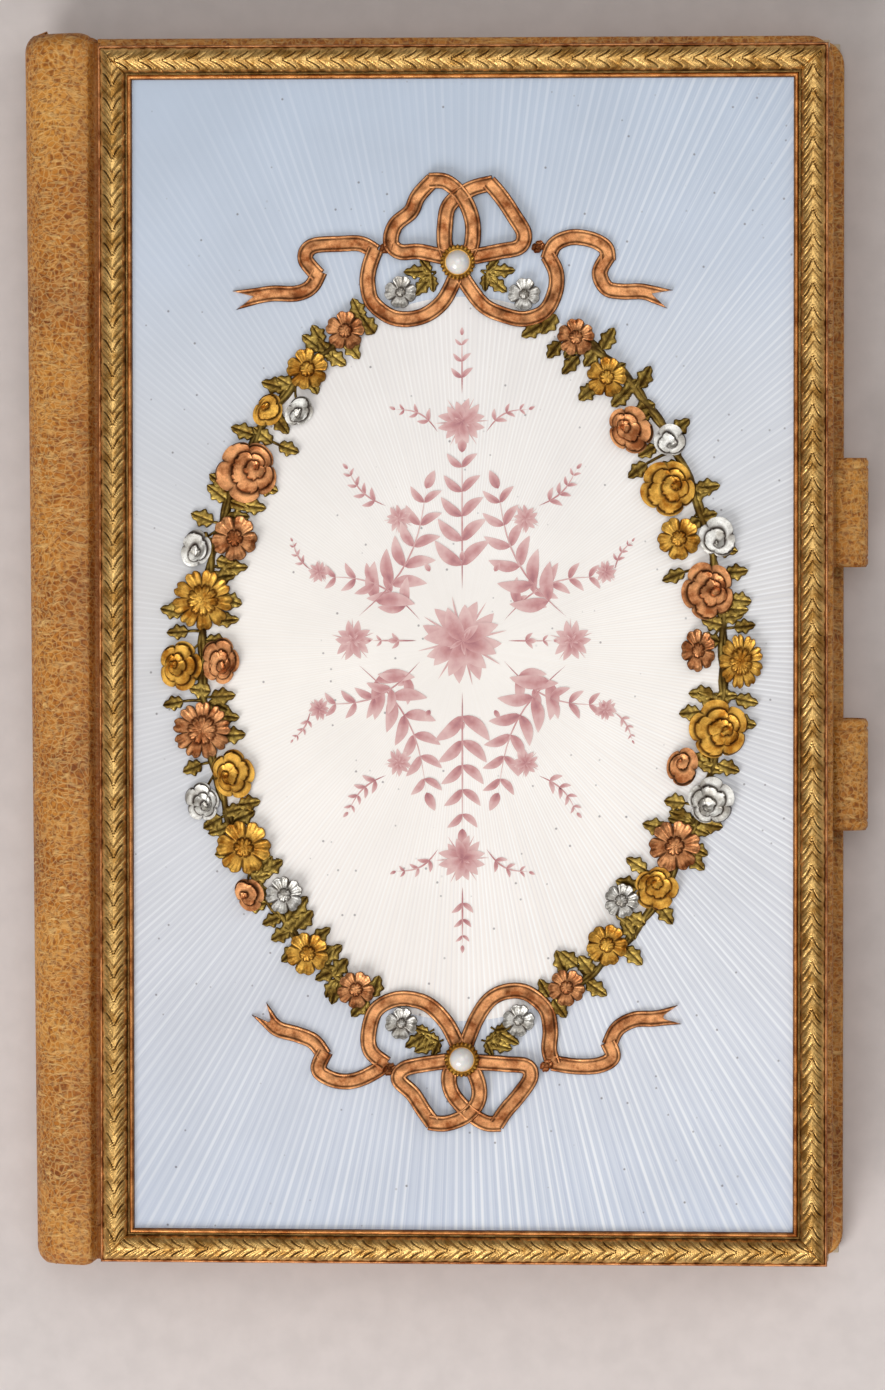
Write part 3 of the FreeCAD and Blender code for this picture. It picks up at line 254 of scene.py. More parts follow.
# Painted shade: this brown darkens the leather in the joints, at its edges and at its ends; tooled
# lines darken it too.
tone = mixed(tree, shade_and_tooling, tone, rgb(116, 60, 16))
coat(tree, shader, tone, maths(tree, "MULTIPLY_ADD", hollows, 0.5, crest_line), 0.7, 0.09)
gloss = ramp(tree, crest_line, [(0.0, 0.6), (1.0, 0.42)])
tree.links.new(gloss, shader.inputs["Roughness"])


def select_only(piece):
    bpy.ops.object.select_all(action="DESELECT")
    piece.select_set(True)
    bpy.context.view_layer.objects.active = piece


def settle(piece):
    """Puts a piece's place, turn and size into its mesh."""
    select_only(piece)
    bpy.ops.object.transform_apply(location=True, rotation=True, scale=True)


def pick(piece, kind, chosen):
    """Enters edit mode with only the chosen faces or edges of a piece selected."""
    bpy.context.view_layer.objects.active = piece
    bpy.ops.object.mode_set(mode="EDIT")
    bpy.ops.mesh.select_mode(type=kind)
    bpy.ops.mesh.select_all(action="DESELECT")
    work = bmesh.from_edit_mesh(piece.data)
    for part in work.faces if kind == "FACE" else work.edges:
        part.select_set(chosen(part))
    bmesh.update_edit_mesh(piece.data)


def done():
    bpy.ops.object.mode_set(mode="OBJECT")


def middle(edge):
    return (edge.verts[0].co + edge.verts[1].co) / 2


def face_outwards(piece, weld=0.0):
    """Joins points that lie within the weld and turns all faces of a closed piece outwards."""
    select_only(piece)
    bpy.ops.object.mode_set(mode="EDIT")
    bpy.ops.mesh.select_all(action="SELECT")
    if weld:
        bpy.ops.mesh.remove_doubles(threshold=weld)
    bpy.ops.mesh.normals_make_consistent(inside=False)
    done()


CRISP, SOFT, ROUND = 35, 50, 60


def dress(piece, finish, angle=CRISP):
    """Gives a piece its material and smooth shading up to an angle."""
    piece.data.materials.clear()
    piece.data.materials.append(finish)
    select_only(piece)
    bpy.ops.object.shade_smooth_by_angle(angle=math.radians(angle))


def hand_over(piece, finish, body, node_name=None, angle=CRISP):
    """Dresses a piece, parents it to its body and hides the CAD piece it replaces."""
    dress(piece, finish, angle)
    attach(piece, body)
    if node_name:
        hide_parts(node_name)


def modify(piece, kind, **settings):
    """Adds a modifier with its settings and applies it."""
    select_only(piece)
    modifier = piece.modifiers.new("change", kind)
    for name, setting in settings.items():
        setattr(modifier, name, setting)
    bpy.ops.object.modifier_apply(modifier=modifier.name)


def mark_grain(piece, settings):
    """Keeps each point's place on the flat skin, and how far painted shade and tooled lines darken
    the leather there.
    """
    piece.data.attributes.new("grain_place", "FLOAT_VECTOR", "POINT")
    piece.data.attributes["grain_place"].data.foreach_set(
        "vector", [part for place, shade_share in settings for part in place])
    piece.data.attributes.new("shade_and_tooling", "FLOAT", "POINT")
    piece.data.attributes["shade_and_tooling"].data.foreach_set("value", [shade_share for place, shade_share in settings])


CORNER_RADIUS, CORNER_STEPS = 2.15 * mm, 8
EDGE_ROUNDING, EDGE_STEPS = 0.32 * mm, 5
TURN_IN = 6.0 * mm
TURN_IN_DEPTH = 0.35 * mm
HINGE_LIP = 0.3 * mm
# Painted shade at the covers' edges: how dark it is at the edge, at most, and how far in it fades.
EDGE_SHADE, MOST_SHADE, SHADE_FADE = 0.22, 0.4, 4 * mm
LEVEL = 0.99
TOUCHING = 1e-6
for name, inner in (("front", -1), ("back", 1)):
    low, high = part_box(f"{name}_leather")
    cover = primitive("cube", f"{name}_cover_leather", size=1, location=(low + high) / 2,
                      scale=high - low)
    settle(cover)
    pick(cover, "EDGE", lambda edge: abs(middle(edge).z - (low.z + high.z) / 2) < TOUCHING
         and middle(edge).x > 0)
    bpy.ops.mesh.bevel(offset=CORNER_RADIUS, segments=CORNER_STEPS, affect="EDGES")
    done()
    pick(cover, "FACE", lambda face: abs(face.normal.z) > LEVEL)
    bpy.ops.mesh.region_to_loop()
    bpy.ops.mesh.bevel(offset=EDGE_ROUNDING, segments=EDGE_STEPS, affect="EDGES")
    done()
    pick(cover, "FACE", lambda face: face.normal.z * inner > LEVEL)
    bpy.ops.mesh.inset(thickness=TURN_IN - EDGE_ROUNDING)
    done()
    pick(cover, "FACE", lambda face: face.normal.z * inner > LEVEL and min(
        vert.co.x for vert in face.verts) > low.x + TURN_IN / 2)
    for vertex in bmesh.from_edit_mesh(cover.data).verts:
        if vertex.select:
            near_hinge = vertex.co.x < 0
            vertex.co.x = low.x + EDGE_ROUNDING + HINGE_LIP if near_hinge else high.x - TURN_IN
            vertex.co.y = math.copysign(high.y - TURN_IN, vertex.co.y)
    bpy.ops.mesh.remove_doubles(threshold=TOUCHING)
    sink = (0, 0, -inner * TURN_IN_DEPTH)
    bpy.ops.mesh.extrude_region_move(TRANSFORM_OT_translate={"value": sink})
    done()
    # Painted shade: the leather darkens over the last millimetres towards the fore edge, the head
    # and the tail.
    settings = []
    for vertex in cover.data.vertices:
        spot = vertex.co
        reach = min(high.x - spot.x, high.y - spot.y, spot.y - low.y)
        settings.append((tuple(spot), min(MOST_SHADE, max(0.0, EDGE_SHADE - reach / SHADE_FADE))))
    mark_grain(cover, settings)
    hand_over(cover, leather, f"{name}_cover", f"{name}_leather")


# Spine and joints: the same skin runs on over each joint, where it is rubbed down into a groove,
# and round the stiff spine. It is made in two halves that meet at the spine's crest.
def surfaces(name, parts):
    """One mesh of curved grids, each (columns, rows, place) with place(u, v) in millimetres."""
    points, faces, cuts = [], [], []
    for columns, rows, place in parts:
        first = len(points)
        for row in range(rows + 1):
            for column in range(columns + 1):
                x, y, z, cut = place(column / columns, row / rows)
                points.append(Vector((x, y, z)) * mm)
                cuts.append(cut)
        made = []
        rise = 0.0
        for row in range(rows):
            for column in range(columns):
                corner = first + row * (columns + 1) + column
                face = (corner, corner + 1, corner + columns + 2, corner + columns + 1)
                made.append(face)
                long, short = points[face[2]] - points[face[0]], points[face[3]] - points[face[1]]
                rise += long.cross(short).z
        faces += made if rise >= 0 else [face[::-1] for face in made]
    mesh = bpy.data.meshes.new(name)
    mesh.from_pydata(points, [], faces)
    mesh.attributes.new("cut", "FLOAT", "POINT").data.foreach_set("value", cuts)
    piece = bpy.data.objects.new(name, mesh)
    bpy.context.scene.collection.objects.link(piece)
    return piece


def smooth_step(low, high, value):
    share = min(1.0, max(0.0, (value - low) / (high - low)))
    return share * share * (3 - 2 * share)


def box_mm(node_name):
    """The lowest and the highest corner of a CAD piece, in millimetres."""
    return [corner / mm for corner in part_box(node_name)]


spine_low, spine_high = box_mm("spine_leather")
cover_low, cover_high = box_mm("front_leather")
SPINE_LENGTH = spine_high.y - spine_low.y
SPINE_MIDDLE = (spine_low.z + spine_high.z) / 2
SPINE_RADIUS = (spine_high.z - spine_low.z) / 2
SPINE_SETBACK = 0.8
END_ROUNDING, END_TUCK = 1.7, 3.0
GROOVE_DEPTH, GROOVE_INSET = 0.7, 0.32
GROOVE_X = cover_low.x - GROOVE_INSET
SHOULDER_INSET, LIP = 0.95, 0.35
LIP_END, GROOVE_END = 0.14, 0.26
SKIN, SLACK = 0.3, 0.03
SKIN_STEPS, SKIN_WALK = (56, 380), 9.5


def spine_section(share, y):
    """A point of the outer skin: share 0 in the cover's edge, 1 at the spine's crest."""
    crest = spine_low.x + SPINE_SETBACK * (spine_high.y - y) / SPINE_LENGTH
    shoulder = cover_low.x - SHOULDER_INSET
    if share < LIP_END:
        turn = share / LIP_END
        x = cover_low.x + LIP + (GROOVE_X - cover_low.x - LIP) * turn
        return x, SPINE_RADIUS - SKIN - (GROOVE_DEPTH - SKIN) * smooth_step(0, 1, turn)
    if share < GROOVE_END:
        turn = (share - LIP_END) / (GROOVE_END - LIP_END)
        climb = (GROOVE_DEPTH - SLACK) * smooth_step(0, 1, turn)
        return GROOVE_X + (shoulder - GROOVE_X) * turn, SPINE_RADIUS - GROOVE_DEPTH + climb
    angle = (share - GROOVE_END) / (1 - GROOVE_END) * pi / 2
    x = shoulder - (shoulder - crest) * sin(angle) ** 1.06
    return x, (SPINE_RADIUS - SLACK) * max(0.0, cos(angle)) ** 0.85


def skin_point(share, reach, side):
    """A point of one half; its reach runs from inside the head to inside the tail."""
    walk = reach * (SPINE_LENGTH + 2 * END_TUCK) - END_TUCK
    y = spine_high.y - min(max(walk, 0.0), SPINE_LENGTH)
    end = min(spine_high.y - y, y - spine_low.y)
    x, z = spine_section(share, y)
    shrink = 0.0
    if end < END_ROUNDING:
        shrink = END_ROUNDING - sqrt(max(0.0, END_ROUNDING ** 2 - (END_ROUNDING - end) ** 2))
    if walk < 0 or walk > SPINE_LENGTH:
        y += walk if walk < 0 else walk - SPINE_LENGTH
        shrink = END_ROUNDING + 0.5
    hold = smooth_step(0.02, 0.4, share)
    x += shrink * hold * smooth_step(0.35, 1.0, share) * 0.8
    z = max(z - shrink * hold * (1 - 0.55 * smooth_step(0.6, 1.0, share)), 0.0)
    ripple = noise.noise(Vector((x * 0.45, y * 0.3, side * 3.0))) * 0.1
    ripple += noise.noise(Vector((x * 1.4, y * 0.9, side * 7.0))) * 0.035
    z += ripple * hold * (1 - smooth_step(0.85, 1, share))
    y *= 1 - 0.0135 * (1 - smooth_step(0.12, 0.36, share))
    return x, y, SPINE_MIDDLE + side * z, share


for name, side, body in (("front", 1, "front_cover"), ("back", -1, "back_cover")):
    half_skin = surfaces(f"{name}_spine_leather",
                         [(*SKIN_STEPS, lambda u, v, side=side: skin_point(u, v, side))])
    settings = []
    for item, vertex in zip(half_skin.data.attributes["cut"].data, half_skin.data.vertices):
        share, y = item.value, vertex.co.y / mm
        end = min(spine_high.y - y, y - spine_low.y)
        # Painted shade: darker in the joint's groove and towards the head and the tail.
        groove = 1 - smooth_step(0.1, 0.22, share) + 0.5 * (1 - smooth_step(0.2, 0.55, share))
        shade_share = min(0.75, 0.5 * groove + 0.3 * (1 - smooth_step(0.0, 1.4, end)))
        settings.append(((share * SKIN_WALK * mm * side, vertex.co.y, 0.02 * side), shade_share))
    mark_grain(half_skin, settings)
    modify(half_skin, "SOLIDIFY", thickness=SKIN * mm, offset=-side)
    face_outwards(half_skin)
    dress(half_skin, leather, ROUND)
    if side > 0:
        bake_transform(half_skin)
        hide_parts("spine_leather")
    else:
        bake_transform(half_skin)


# Boards, spine liner and linings: rigid card boards and a stiff liner under the leather; watered
# silk on thin card fills the inner faces and makes the two pockets, each with a folded welt.
def tinted(name, colour, scale, contrast, roughness, stretch=(1.0, 1.0, 1.0), relief=0.05):
    """A matt material with a fine mottle that may be drawn out along one way."""
    finish, tree, shader = new_material(name, Roughness=roughness, Specular_IOR_Level=0.25)
    place = own_place(tree)
    mottle = grain(tree, scaled_place(tree, place, stretch), scale, 8.0, Roughness=0.7)
    shadow = tuple(part * (1 - contrast) for part in colour)
    tone = ramp(tree, mottle, [(0.3, shadow), (0.7, colour)])
    coat(tree, shader, tone, mottle, 0.5, relief)
    return finish, tree, shader, place, tone


board_card = tinted("grey_board", rgb(196, 178, 152), 2600, 0.25, 0.85)[0]
cloth = tinted("bound_cloth", rgb(122, 82, 46), 3800, 0.35, 0.8, (1, 0.25, 1))[0]
silk, tree, shader, place, tone = tinted("watered_silk", rgb(226, 212, 184), 5200, 0.16, 0.42,
                                         (0.08, 1, 1), 0.02)
shader.inputs["Sheen Weight"].default_value = 0.3
wander = grain(tree, scaled_place(tree, place, (0.2, 1, 1)), 240.0)
waves = out(tree, "TexWave", {"Vector": scaled_place(tree, place, (0.1, 1, 1)), "Scale": 95.0,
                              "Distortion": 9.0, "Detail": 3.0, "Detail Scale": 2.0}, "Fac",
            bands_direction="Y")
moire = ramp(tree, times(tree, waves, wander), [(0.12, 0.8), (0.42, 1.0)])
ribs = out(tree, "TexWave", {"Vector": place, "Scale": 1500.0}, "Fac", bands_direction="Y")
coat(tree, shader, shaded(tree, tone, moire), ribs, 0.35, 0.02)


def set_slots(finishes):
    """Gives CAD pieces that show as they are their scene material."""
    for item in bpy.data.objects:
        for slot in item.material_slots:
            for name, finish in finishes.items():
                if slot.material and slot.material.name.split(".")[0] == name:
                    slot.material = finish


LINER_ARC = math.radians(172)
LINER_INSET, LINER_WALL = 2.1, 0.6
LINER_STEPS = (40, 60)
CARD_ROUNDING, CARD_STEPS = 0.08, 3


def liner_place(u, v):
    """The inner face of the spine, a shell with thickness between its two walks round it."""
    walk, inside = (v * 2, 0.0) if v <= 0.5 else (2 - v * 2, LINER_WALL)
    angle = (walk - 0.5) * LINER_ARC
    y = spine_low.y + LINER_INSET + u * (SPINE_LENGTH - 2 * LINER_INSET)
    crest = spine_low.x + SPINE_SETBACK * (1 - u) + 0.5 + inside
    x = cover_low.x - 0.9 - (cover_low.x - 0.9 - crest) * cos(angle)
    return x, y, SPINE_MIDDLE + (SPINE_RADIUS - 0.75 - inside) * sin(angle), 0.0


liner = surfaces("spine_cloth_liner", [(*LINER_STEPS, liner_place)])
face_outwards(liner)
hand_over(liner, silk, "spine", "spine_liner", ROUND)
for part, slot, finish in (("board", "board", board_card), ("lining", "watered_silk", silk)):
    for side in ("back", "front"):
        low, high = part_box(f"{side}_{part}")
        card = primitive("cube", f"{side}_{part}_card", size=1, location=(low + high) / 2,
                         scale=high - low)
        settle(card)
        modify(card, "BEVEL", width=CARD_ROUNDING * mm, segments=CARD_STEPS)
        hand_over(card, finish, f"{side}_cover", f"{side}_{part}")

# Pad: a block of gilt-edged paper leaves on a card that slides under the pocket, held at the gutter
# by a cloth tape, with three loose leaves on top. The leaves are ruled with faint lines.
paper, tree, shader, place, tone = tinted("laid_paper", rgb(244, 238, 222), 3000, 0.06, 0.75)
upward = out(tree, "SeparateXYZ", {"Vector": out(tree, "TexCoord", output="Normal")}, "Z")
flat = ramp(tree, maths(tree, "ABSOLUTE", upward), [(0.4, 0.0), (0.6, 1.0)])
rule = out(tree, "TexWave", {"Vector": place, "Scale": 50.0}, "Fac", bands_direction="Y")
line = ramp(tree, rule, [(0.985, 0.0), (0.995, 1.0)])
page = mixed(tree, line, tone, rgb(214, 204, 190))
edges = out(tree, "TexWave", {"Vector": place, "Scale": 2600.0}, "Fac", bands_direction="Z")
edge = ramp(tree, edges, [(0.2, rgb(196, 160, 92)), (0.7, rgb(232, 206, 146))])
coat(tree, shader, mixed(tree, flat, edge, page))


# Golds: one yellow alloy for the rails, and yellow, rose, white and green ones for the garland and
# the bows. All are chased: matted with a fine punch, bright on the crests and dark in the cuts; the
# same dark mix carries painted shade at rims, gaps, creases and feet.
METAL_ROUGHNESS = 0.36


def metal(name, bright, dark, stipple):
    finish, tree, shader = new_material(name, Metallic=0.92)
    place = own_place(tree)
    cut = out(tree, "Attribute", output="Fac", attribute_name="cut")
    punch = out(tree, "TexVoronoi", {"Vector": place, "Scale": stipple}, "Distance")
    wear = grain(tree, place, 700.0, 5.0, Roughness=0.65)
    tone = ramp(tree, wear, [(0.38, rgb(*dark)), (0.6, rgb(*bright))])
    tone = shaded(tree, tone, ramp(tree, punch, [(0.12, 0.74), (0.5, 1.0)]))
    # The cut attribute mixes in this deep brown: dark in the chased cuts, and painted shade at
    # rims, gaps, creases and feet.
    tone = mixed(tree, cut, tone, rgb(48, 24, 8))
    coat(tree, shader, tone, maths(tree, "MULTIPLY_ADD", wear, 0.5, punch), 0.55, 0.03)
    rough = maths(tree, "MULTIPLY_ADD", cut, 0.35, METAL_ROUGHNESS)
    tree.links.new(rough, shader.inputs["Roughness"])
    return finish


golds = {name: metal(f"{name}_gold", bright, dark, stipple) for name, bright, dark, stipple in (
    ("chased", (240, 196, 122), (176, 128, 62), 9000),
    ("rose", (236, 168, 112), (150, 86, 46), 12000),
    ("yellow", (238, 184, 84), (164, 104, 28), 12000),
    ("white", (240, 238, 232), (176, 170, 160), 12000),
    ("green", (188, 158, 80), (112, 84, 30), 12000),
    ("bezel", (226, 156, 92), (158, 92, 44), 9000))}
set_slots({f"{name}_gold": finish for name, finish in golds.items()})
set_slots({"watered_silk": silk, "board": board_card, "cloth_tape": cloth, "paper": paper,
           "tan_leather": leather})


def hand_over_gold(piece, gold, node_name):
    """A chased gold piece is dressed in the gold that its alloy names and rides on the front cover.
    """
    hand_over(piece, golds[gold], "front_cover", node_name, SOFT)


# Pencil loops: a strap of the same leather rolled round the pencil and glued to a cover, with a
# tooled line near each end. The upper loop is on the front cover and the lower on the back one.
LOOP_RADIUS, LOOP_WALL = 1.95, 0.45
LOOP_STEPS = 64
LINE_PLACE, LINE_WIDTH = 0.8, 0.1
TAIL_SHORTFALL = 0.8
TAIL_HEIGHT = {"upper": 6.375, "lower": 2.325}


def loop_sides(low, high, loop_x):
    """The strap's outer and inner sides and its two ends, as grids for surfaces."""
    def ring(radius, turn, y):
        angle = 2 * pi * turn
        return loop_x + radius * cos(angle), y, SPINE_MIDDLE + radius * sin(angle), 0.0

    def outside(u, v):
        """Rounded ends, two tooled lines and a slightly uneven run."""
        y = low.y + v * (high.y - low.y)
        end = min(high.y - y, y - low.y)
        radius = LOOP_RADIUS - 0.03 + 0.03 * noise.noise(Vector((u * 9, y * 0.8, low.y)))
        line = 0.09 * exp(-((end - LINE_PLACE) / LINE_WIDTH) ** 2)
        return ring(radius - (0.16 * (1 - smooth_step(0.0, 0.3, end)) + line), u, y)

    def inside(u, v):
        return ring(LOOP_RADIUS - LOOP_WALL, -u, low.y + v * (high.y - low.y))

    def end_at(y):
        return lambda u, v: ring(LOOP_RADIUS - LOOP_WALL + (LOOP_WALL - 0.19) * v, u, y)

    return [(LOOP_STEPS, 90, outside), (LOOP_STEPS, 12, inside), (LOOP_STEPS, 3, end_at(low.y)),
            (LOOP_STEPS, 3, end_at(high.y))]


for name, body in (("upper", "front_cover"), ("lower", "back_cover")):
    low, high = box_mm(f"pencil_loop_{name}")
    loop_x = high.x - LOOP_RADIUS
    tail_end = loop_x - TAIL_SHORTFALL
    loop = surfaces(f"{name}_pencil_loop", loop_sides(low, high, loop_x))
    strap_middle = ((low.x + tail_end) / 2, (low.y + high.y) / 2, TAIL_HEIGHT[name])
    strap_size = (tail_end - low.x, high.y - low.y, LOOP_WALL)
    strap = primitive("cube", "strap", size=1, location=[part * mm for part in strap_middle],
                      scale=[part * mm for part in strap_size])
    settle(strap)
    loop.select_set(True)
    bpy.context.view_layer.objects.active = loop
    bpy.ops.object.join()
    face_outwards(loop, TOUCHING)
    settings = []
    for vertex in loop.data.vertices:
        x, y, z = (part / mm for part in vertex.co)
        end = min(high.y - y, y - low.y)
        around = math.atan2(z - SPINE_MIDDLE, x - loop_x)
        # The tooled lines darken the leather; the rounded ends are darkened with painted shade.
        tooled = 0.5 * exp(-((end - 0.98) / LINE_WIDTH) ** 2)
        rim = 0.45 * (1 - smooth_step(0.0, 0.35, end))
        settings.append(((around * LOOP_RADIUS * mm, vertex.co.y, 0.05), min(0.9, rim + tooled)))
    mark_grain(loop, settings)
    hand_over(loop, leather, body, f"pencil_loop_{name}", ROUND)

# Enamel: translucent blue over an engine-turned sunburst, and an opal white oval let into it. Both
# are ground level and fired to a glass-smooth gloss, with pin-point specks under the surface.
plate_low, plate_high = box_mm("blue_enamel")
oval_low, oval_high = box_mm("white_enamel")
CENTRE_X = (plate_low.x + plate_high.x) / 2
CENTRE_Y = (plate_low.y + plate_high.y) / 2
OVAL_Y = (oval_low.y + oval_high.y) / 2
OVAL_WIDE, OVAL_TALL = (oval_high.x - oval_low.x) / 2, (oval_high.y - oval_low.y) / 2
ENAMEL_TOP = plate_high.z
RAY_COUNT = 400
SUN_Y = 0.45
RAY_SHADE = 0.16
RIM_DEPTH = 0.3
FIELD_STEPS, OVAL_STEPS = 6, 12


def enamel(name, colours, ray_strength, ray_colour):
    """Glass enamel with colours from tail to head and the rays of its engine-turned ground."""
    finish, tree, shader = new_material(name, Roughness=0.22, Coat_Weight=0.6, Coat_Roughness=0.08,
                                        Specular_IOR_Level=0.4)
    place = own_place(tree)
    spot = node(tree, "SeparateXYZ", {"Vector": place}).outputs
    east = maths(tree, "SUBTRACT", spot["X"], CENTRE_X * mm)
    north = maths(tree, "SUBTRACT", spot["Y"], SUN_Y * mm)
    turn = maths(tree, "ARCTAN2", north, east)
    wave = maths(tree, "SINE", times(tree, turn, RAY_COUNT))
    fine = maths(tree, "SINE", times(tree, turn, RAY_COUNT * 2))
    uneven = out(tree, "TexNoise", {"W": times(tree, turn, 90.0), "Scale": 1.0, "Detail": 2.0},
                 noise_dimensions="1D")
    # Painted light: the rays show more strongly towards the fore edge and the tail, where the lamps
    # catch the engine-turning.
    slope = maths(tree, "SUBTRACT", spot["X"], spot["Y"])
    painted_ray_light = maths(tree, "MULTIPLY_ADD", slope, 1 / (120 * mm), 0.62, clamp=True)
    fade = times(tree, painted_ray_light, ramp(tree, grain(tree, place, 60.0, 3.0), [(0.3, 0.5), (0.65, 1.0)]))
    fade = times(tree, fade, ramp(tree, uneven, [(0.35, 0.2), (0.6, 1.0)]))
    height = maths(tree, "ADD", maths(tree, "DIVIDE", spot["Y"], 110 * mm), 0.5)
    aside = maths(tree, "MULTIPLY_ADD", spot["X"], 1 / (64 * mm), 0.5, clamp=True)
    tone = shaded(tree, ramp(tree, height, colours), ramp(tree, aside, [(0.0, 0.98), (1.0, 1.02)]))
    wide = ramp(tree, maths(tree, "MULTIPLY_ADD", wave, 0.5, 0.5), [(0.55, 0.0), (0.9, 1.0)])
    thin = ramp(tree, maths(tree, "MULTIPLY_ADD", fine, 0.5, 0.5), [(0.7, 0.0), (1.0, 0.45)])
    dim = ramp(tree, maths(tree, "MULTIPLY_ADD", wave, -0.5, 0.5), [(0.6, 0.0), (1.0, 1.0)])
    dim = times(tree, times(tree, dim, fade), RAY_SHADE * ray_strength)
    tone = mixed(tree, dim, tone, rgb(92, 112, 168))
    rays = times(tree, times(tree, maths(tree, "MAXIMUM", wide, thin), fade), ray_strength)
    tone = mixed(tree, rays, tone, ray_colour)
    cells = node(tree, "TexVoronoi", {"Vector": place, "Scale": 820.0}).outputs
    speck = times(tree, ramp(tree, cells["Distance"], [(0.05, 1.0), (0.11, 0.0)]),
                  ramp(tree, cells["Color"], [(0.5, 0.0), (0.56, 0.7)]))
    tone = mixed(tree, speck, tone, rgb(96, 88, 92))
    cloud = ramp(tree, grain(tree, place, 130.0, 4.0), [(0.3, 0.95), (0.7, 1.02)])
    relief = maths(tree, "MULTIPLY_ADD", fine, 0.3, wave)
    coat(tree, shader, shaded(tree, tone, cloud), relief, 0.12)
    return finish


blue_glass = enamel("blue_enamel", [(0.0, rgb(200, 210, 228)), (0.25, rgb(208, 211, 220)),
                                    (0.55, rgb(211, 209, 209)), (0.8, rgb(186, 197, 214)),
                                    (1.0, rgb(168, 184, 205))], 0.8, rgb(244, 246, 250))
white_glass = enamel("white_enamel", [(0.2, rgb(244, 236, 230)), (0.5, rgb(248, 241, 233)),
                                      (0.75, rgb(230, 225, 222))], 0.9, rgb(255, 255, 254))


def blue_field(u, v):
    """From the oval's edge out to the plate's edge, along a walk round the plate."""
    side, share = int(v * 4) % 4, v * 4 % 1.0
    corners = [(1, -1), (1, 1), (-1, 1), (-1, -1)]
    start, end = corners[side], corners[(side + 1) % 4]
    half_x, half_y = (plate_high.x - plate_low.x) / 2, (plate_high.y - plate_low.y) / 2
    x = (start[0] + (end[0] - start[0]) * share) * half_x
    y = (start[1] + (end[1] - start[1]) * share) * half_y + CENTRE_Y - OVAL_Y
    scale = 1 / math.hypot(x / OVAL_WIDE, y / OVAL_TALL)
    near = (x * scale, y * scale)
    step = max(0.0, (u * FIELD_STEPS - 1) / (FIELD_STEPS - 1))
    x, y = (near[0] + (x - near[0]) * step, near[1] + (y - near[1]) * step)
    return CENTRE_X + x, OVAL_Y + y, ENAMEL_TOP - (RIM_DEPTH if u == 0 else 0.0), 0.0


def white_oval(u, v):
    angle = 2 * pi * v
    rim = min(1.0, u * OVAL_STEPS / (OVAL_STEPS - 1))
    drop = RIM_DEPTH if u == 1 else 0.012 * smooth_step(0.985, 1.0, rim)
    return (CENTRE_X + OVAL_WIDE * rim * cos(angle),
            OVAL_Y + OVAL_TALL * rim * sin(angle), ENAMEL_TOP - drop, 0.0)


for name, part, finish in (("blue", (FIELD_STEPS, 320, blue_field), blue_glass),
                           ("white", (OVAL_STEPS, 240, white_oval), white_glass)):
    field = surfaces(f"{name}_glass", [part])
    hand_over(field, finish, "front_cover", f"{name}_enamel")

# Mouldings and chased rails: the frame round the enamel. A half-round bezel holds the plate, then
# comes a channel darkened with painted shade, four mitred rails chased with laurel leaves, and a
# thin outer fillet.
rail_low, rail_high = box_mm("rail_top")
side_low, side_high = box_mm("rail_left")
BAND = rail_high.y - rail_low.y
BAND_WIDE, BAND_TALL = (rail_high.x - rail_low.x) / 2, (side_high.y - side_low.y) / 2
BAND_BASE = rail_low.z
BAND_LAP = 0.14
PITCH, SWEEP, EDGE_HEIGHT, RIDGE_HEIGHT = 2.05, 1.4, 0.75, 1.4
FINE_STROKES = ((0.12, 0.1, 0.86), (0.3, 0.12, 0.7), (0.74, 0.08, 0.6), (0.9, 0.05, 0.88))
RAIL_STEPS, RAIL_STEPS_ACROSS = (1100, 1750), 28
CHANNEL_WIDTH, CHANNEL_HEIGHT, CHANNEL_SHADE = 0.3, 0.03, 0.3
FILLET_STEPS = (160, 10)


def mitred_side(quarter, wide, tall, width, steps, steps_across, section):
    """One side of a frame whose outer edges lie at wide and tall, as a grid for surfaces."""
    half, far = (wide, tall) if quarter % 2 == 0 else (tall, wide)

    def place(u, v):
        inner = min(1.0, max(0.0, (v * steps_across - 1) / (steps_across - 2)))
        across = (inner - 0.5) * width
        reach = half - width / 2 + across
        along = (2 * u - 1) * reach
        height, cut = section(along, across / (width / 2), reach)
        x, y = along, far - width / 2 + across
        for turn in range(quarter):
            x, y = -y, x
        return CENTRE_X + x, CENTRE_Y + y, BAND_BASE + (0.0 if v in (0, 1) else height), cut

    return steps, steps_across, place


def line_at(distance, width):
    """How fully a point lies in a cut line of one width."""
    return 1 - smooth_step(0.35, 1.0, abs(distance) / width)


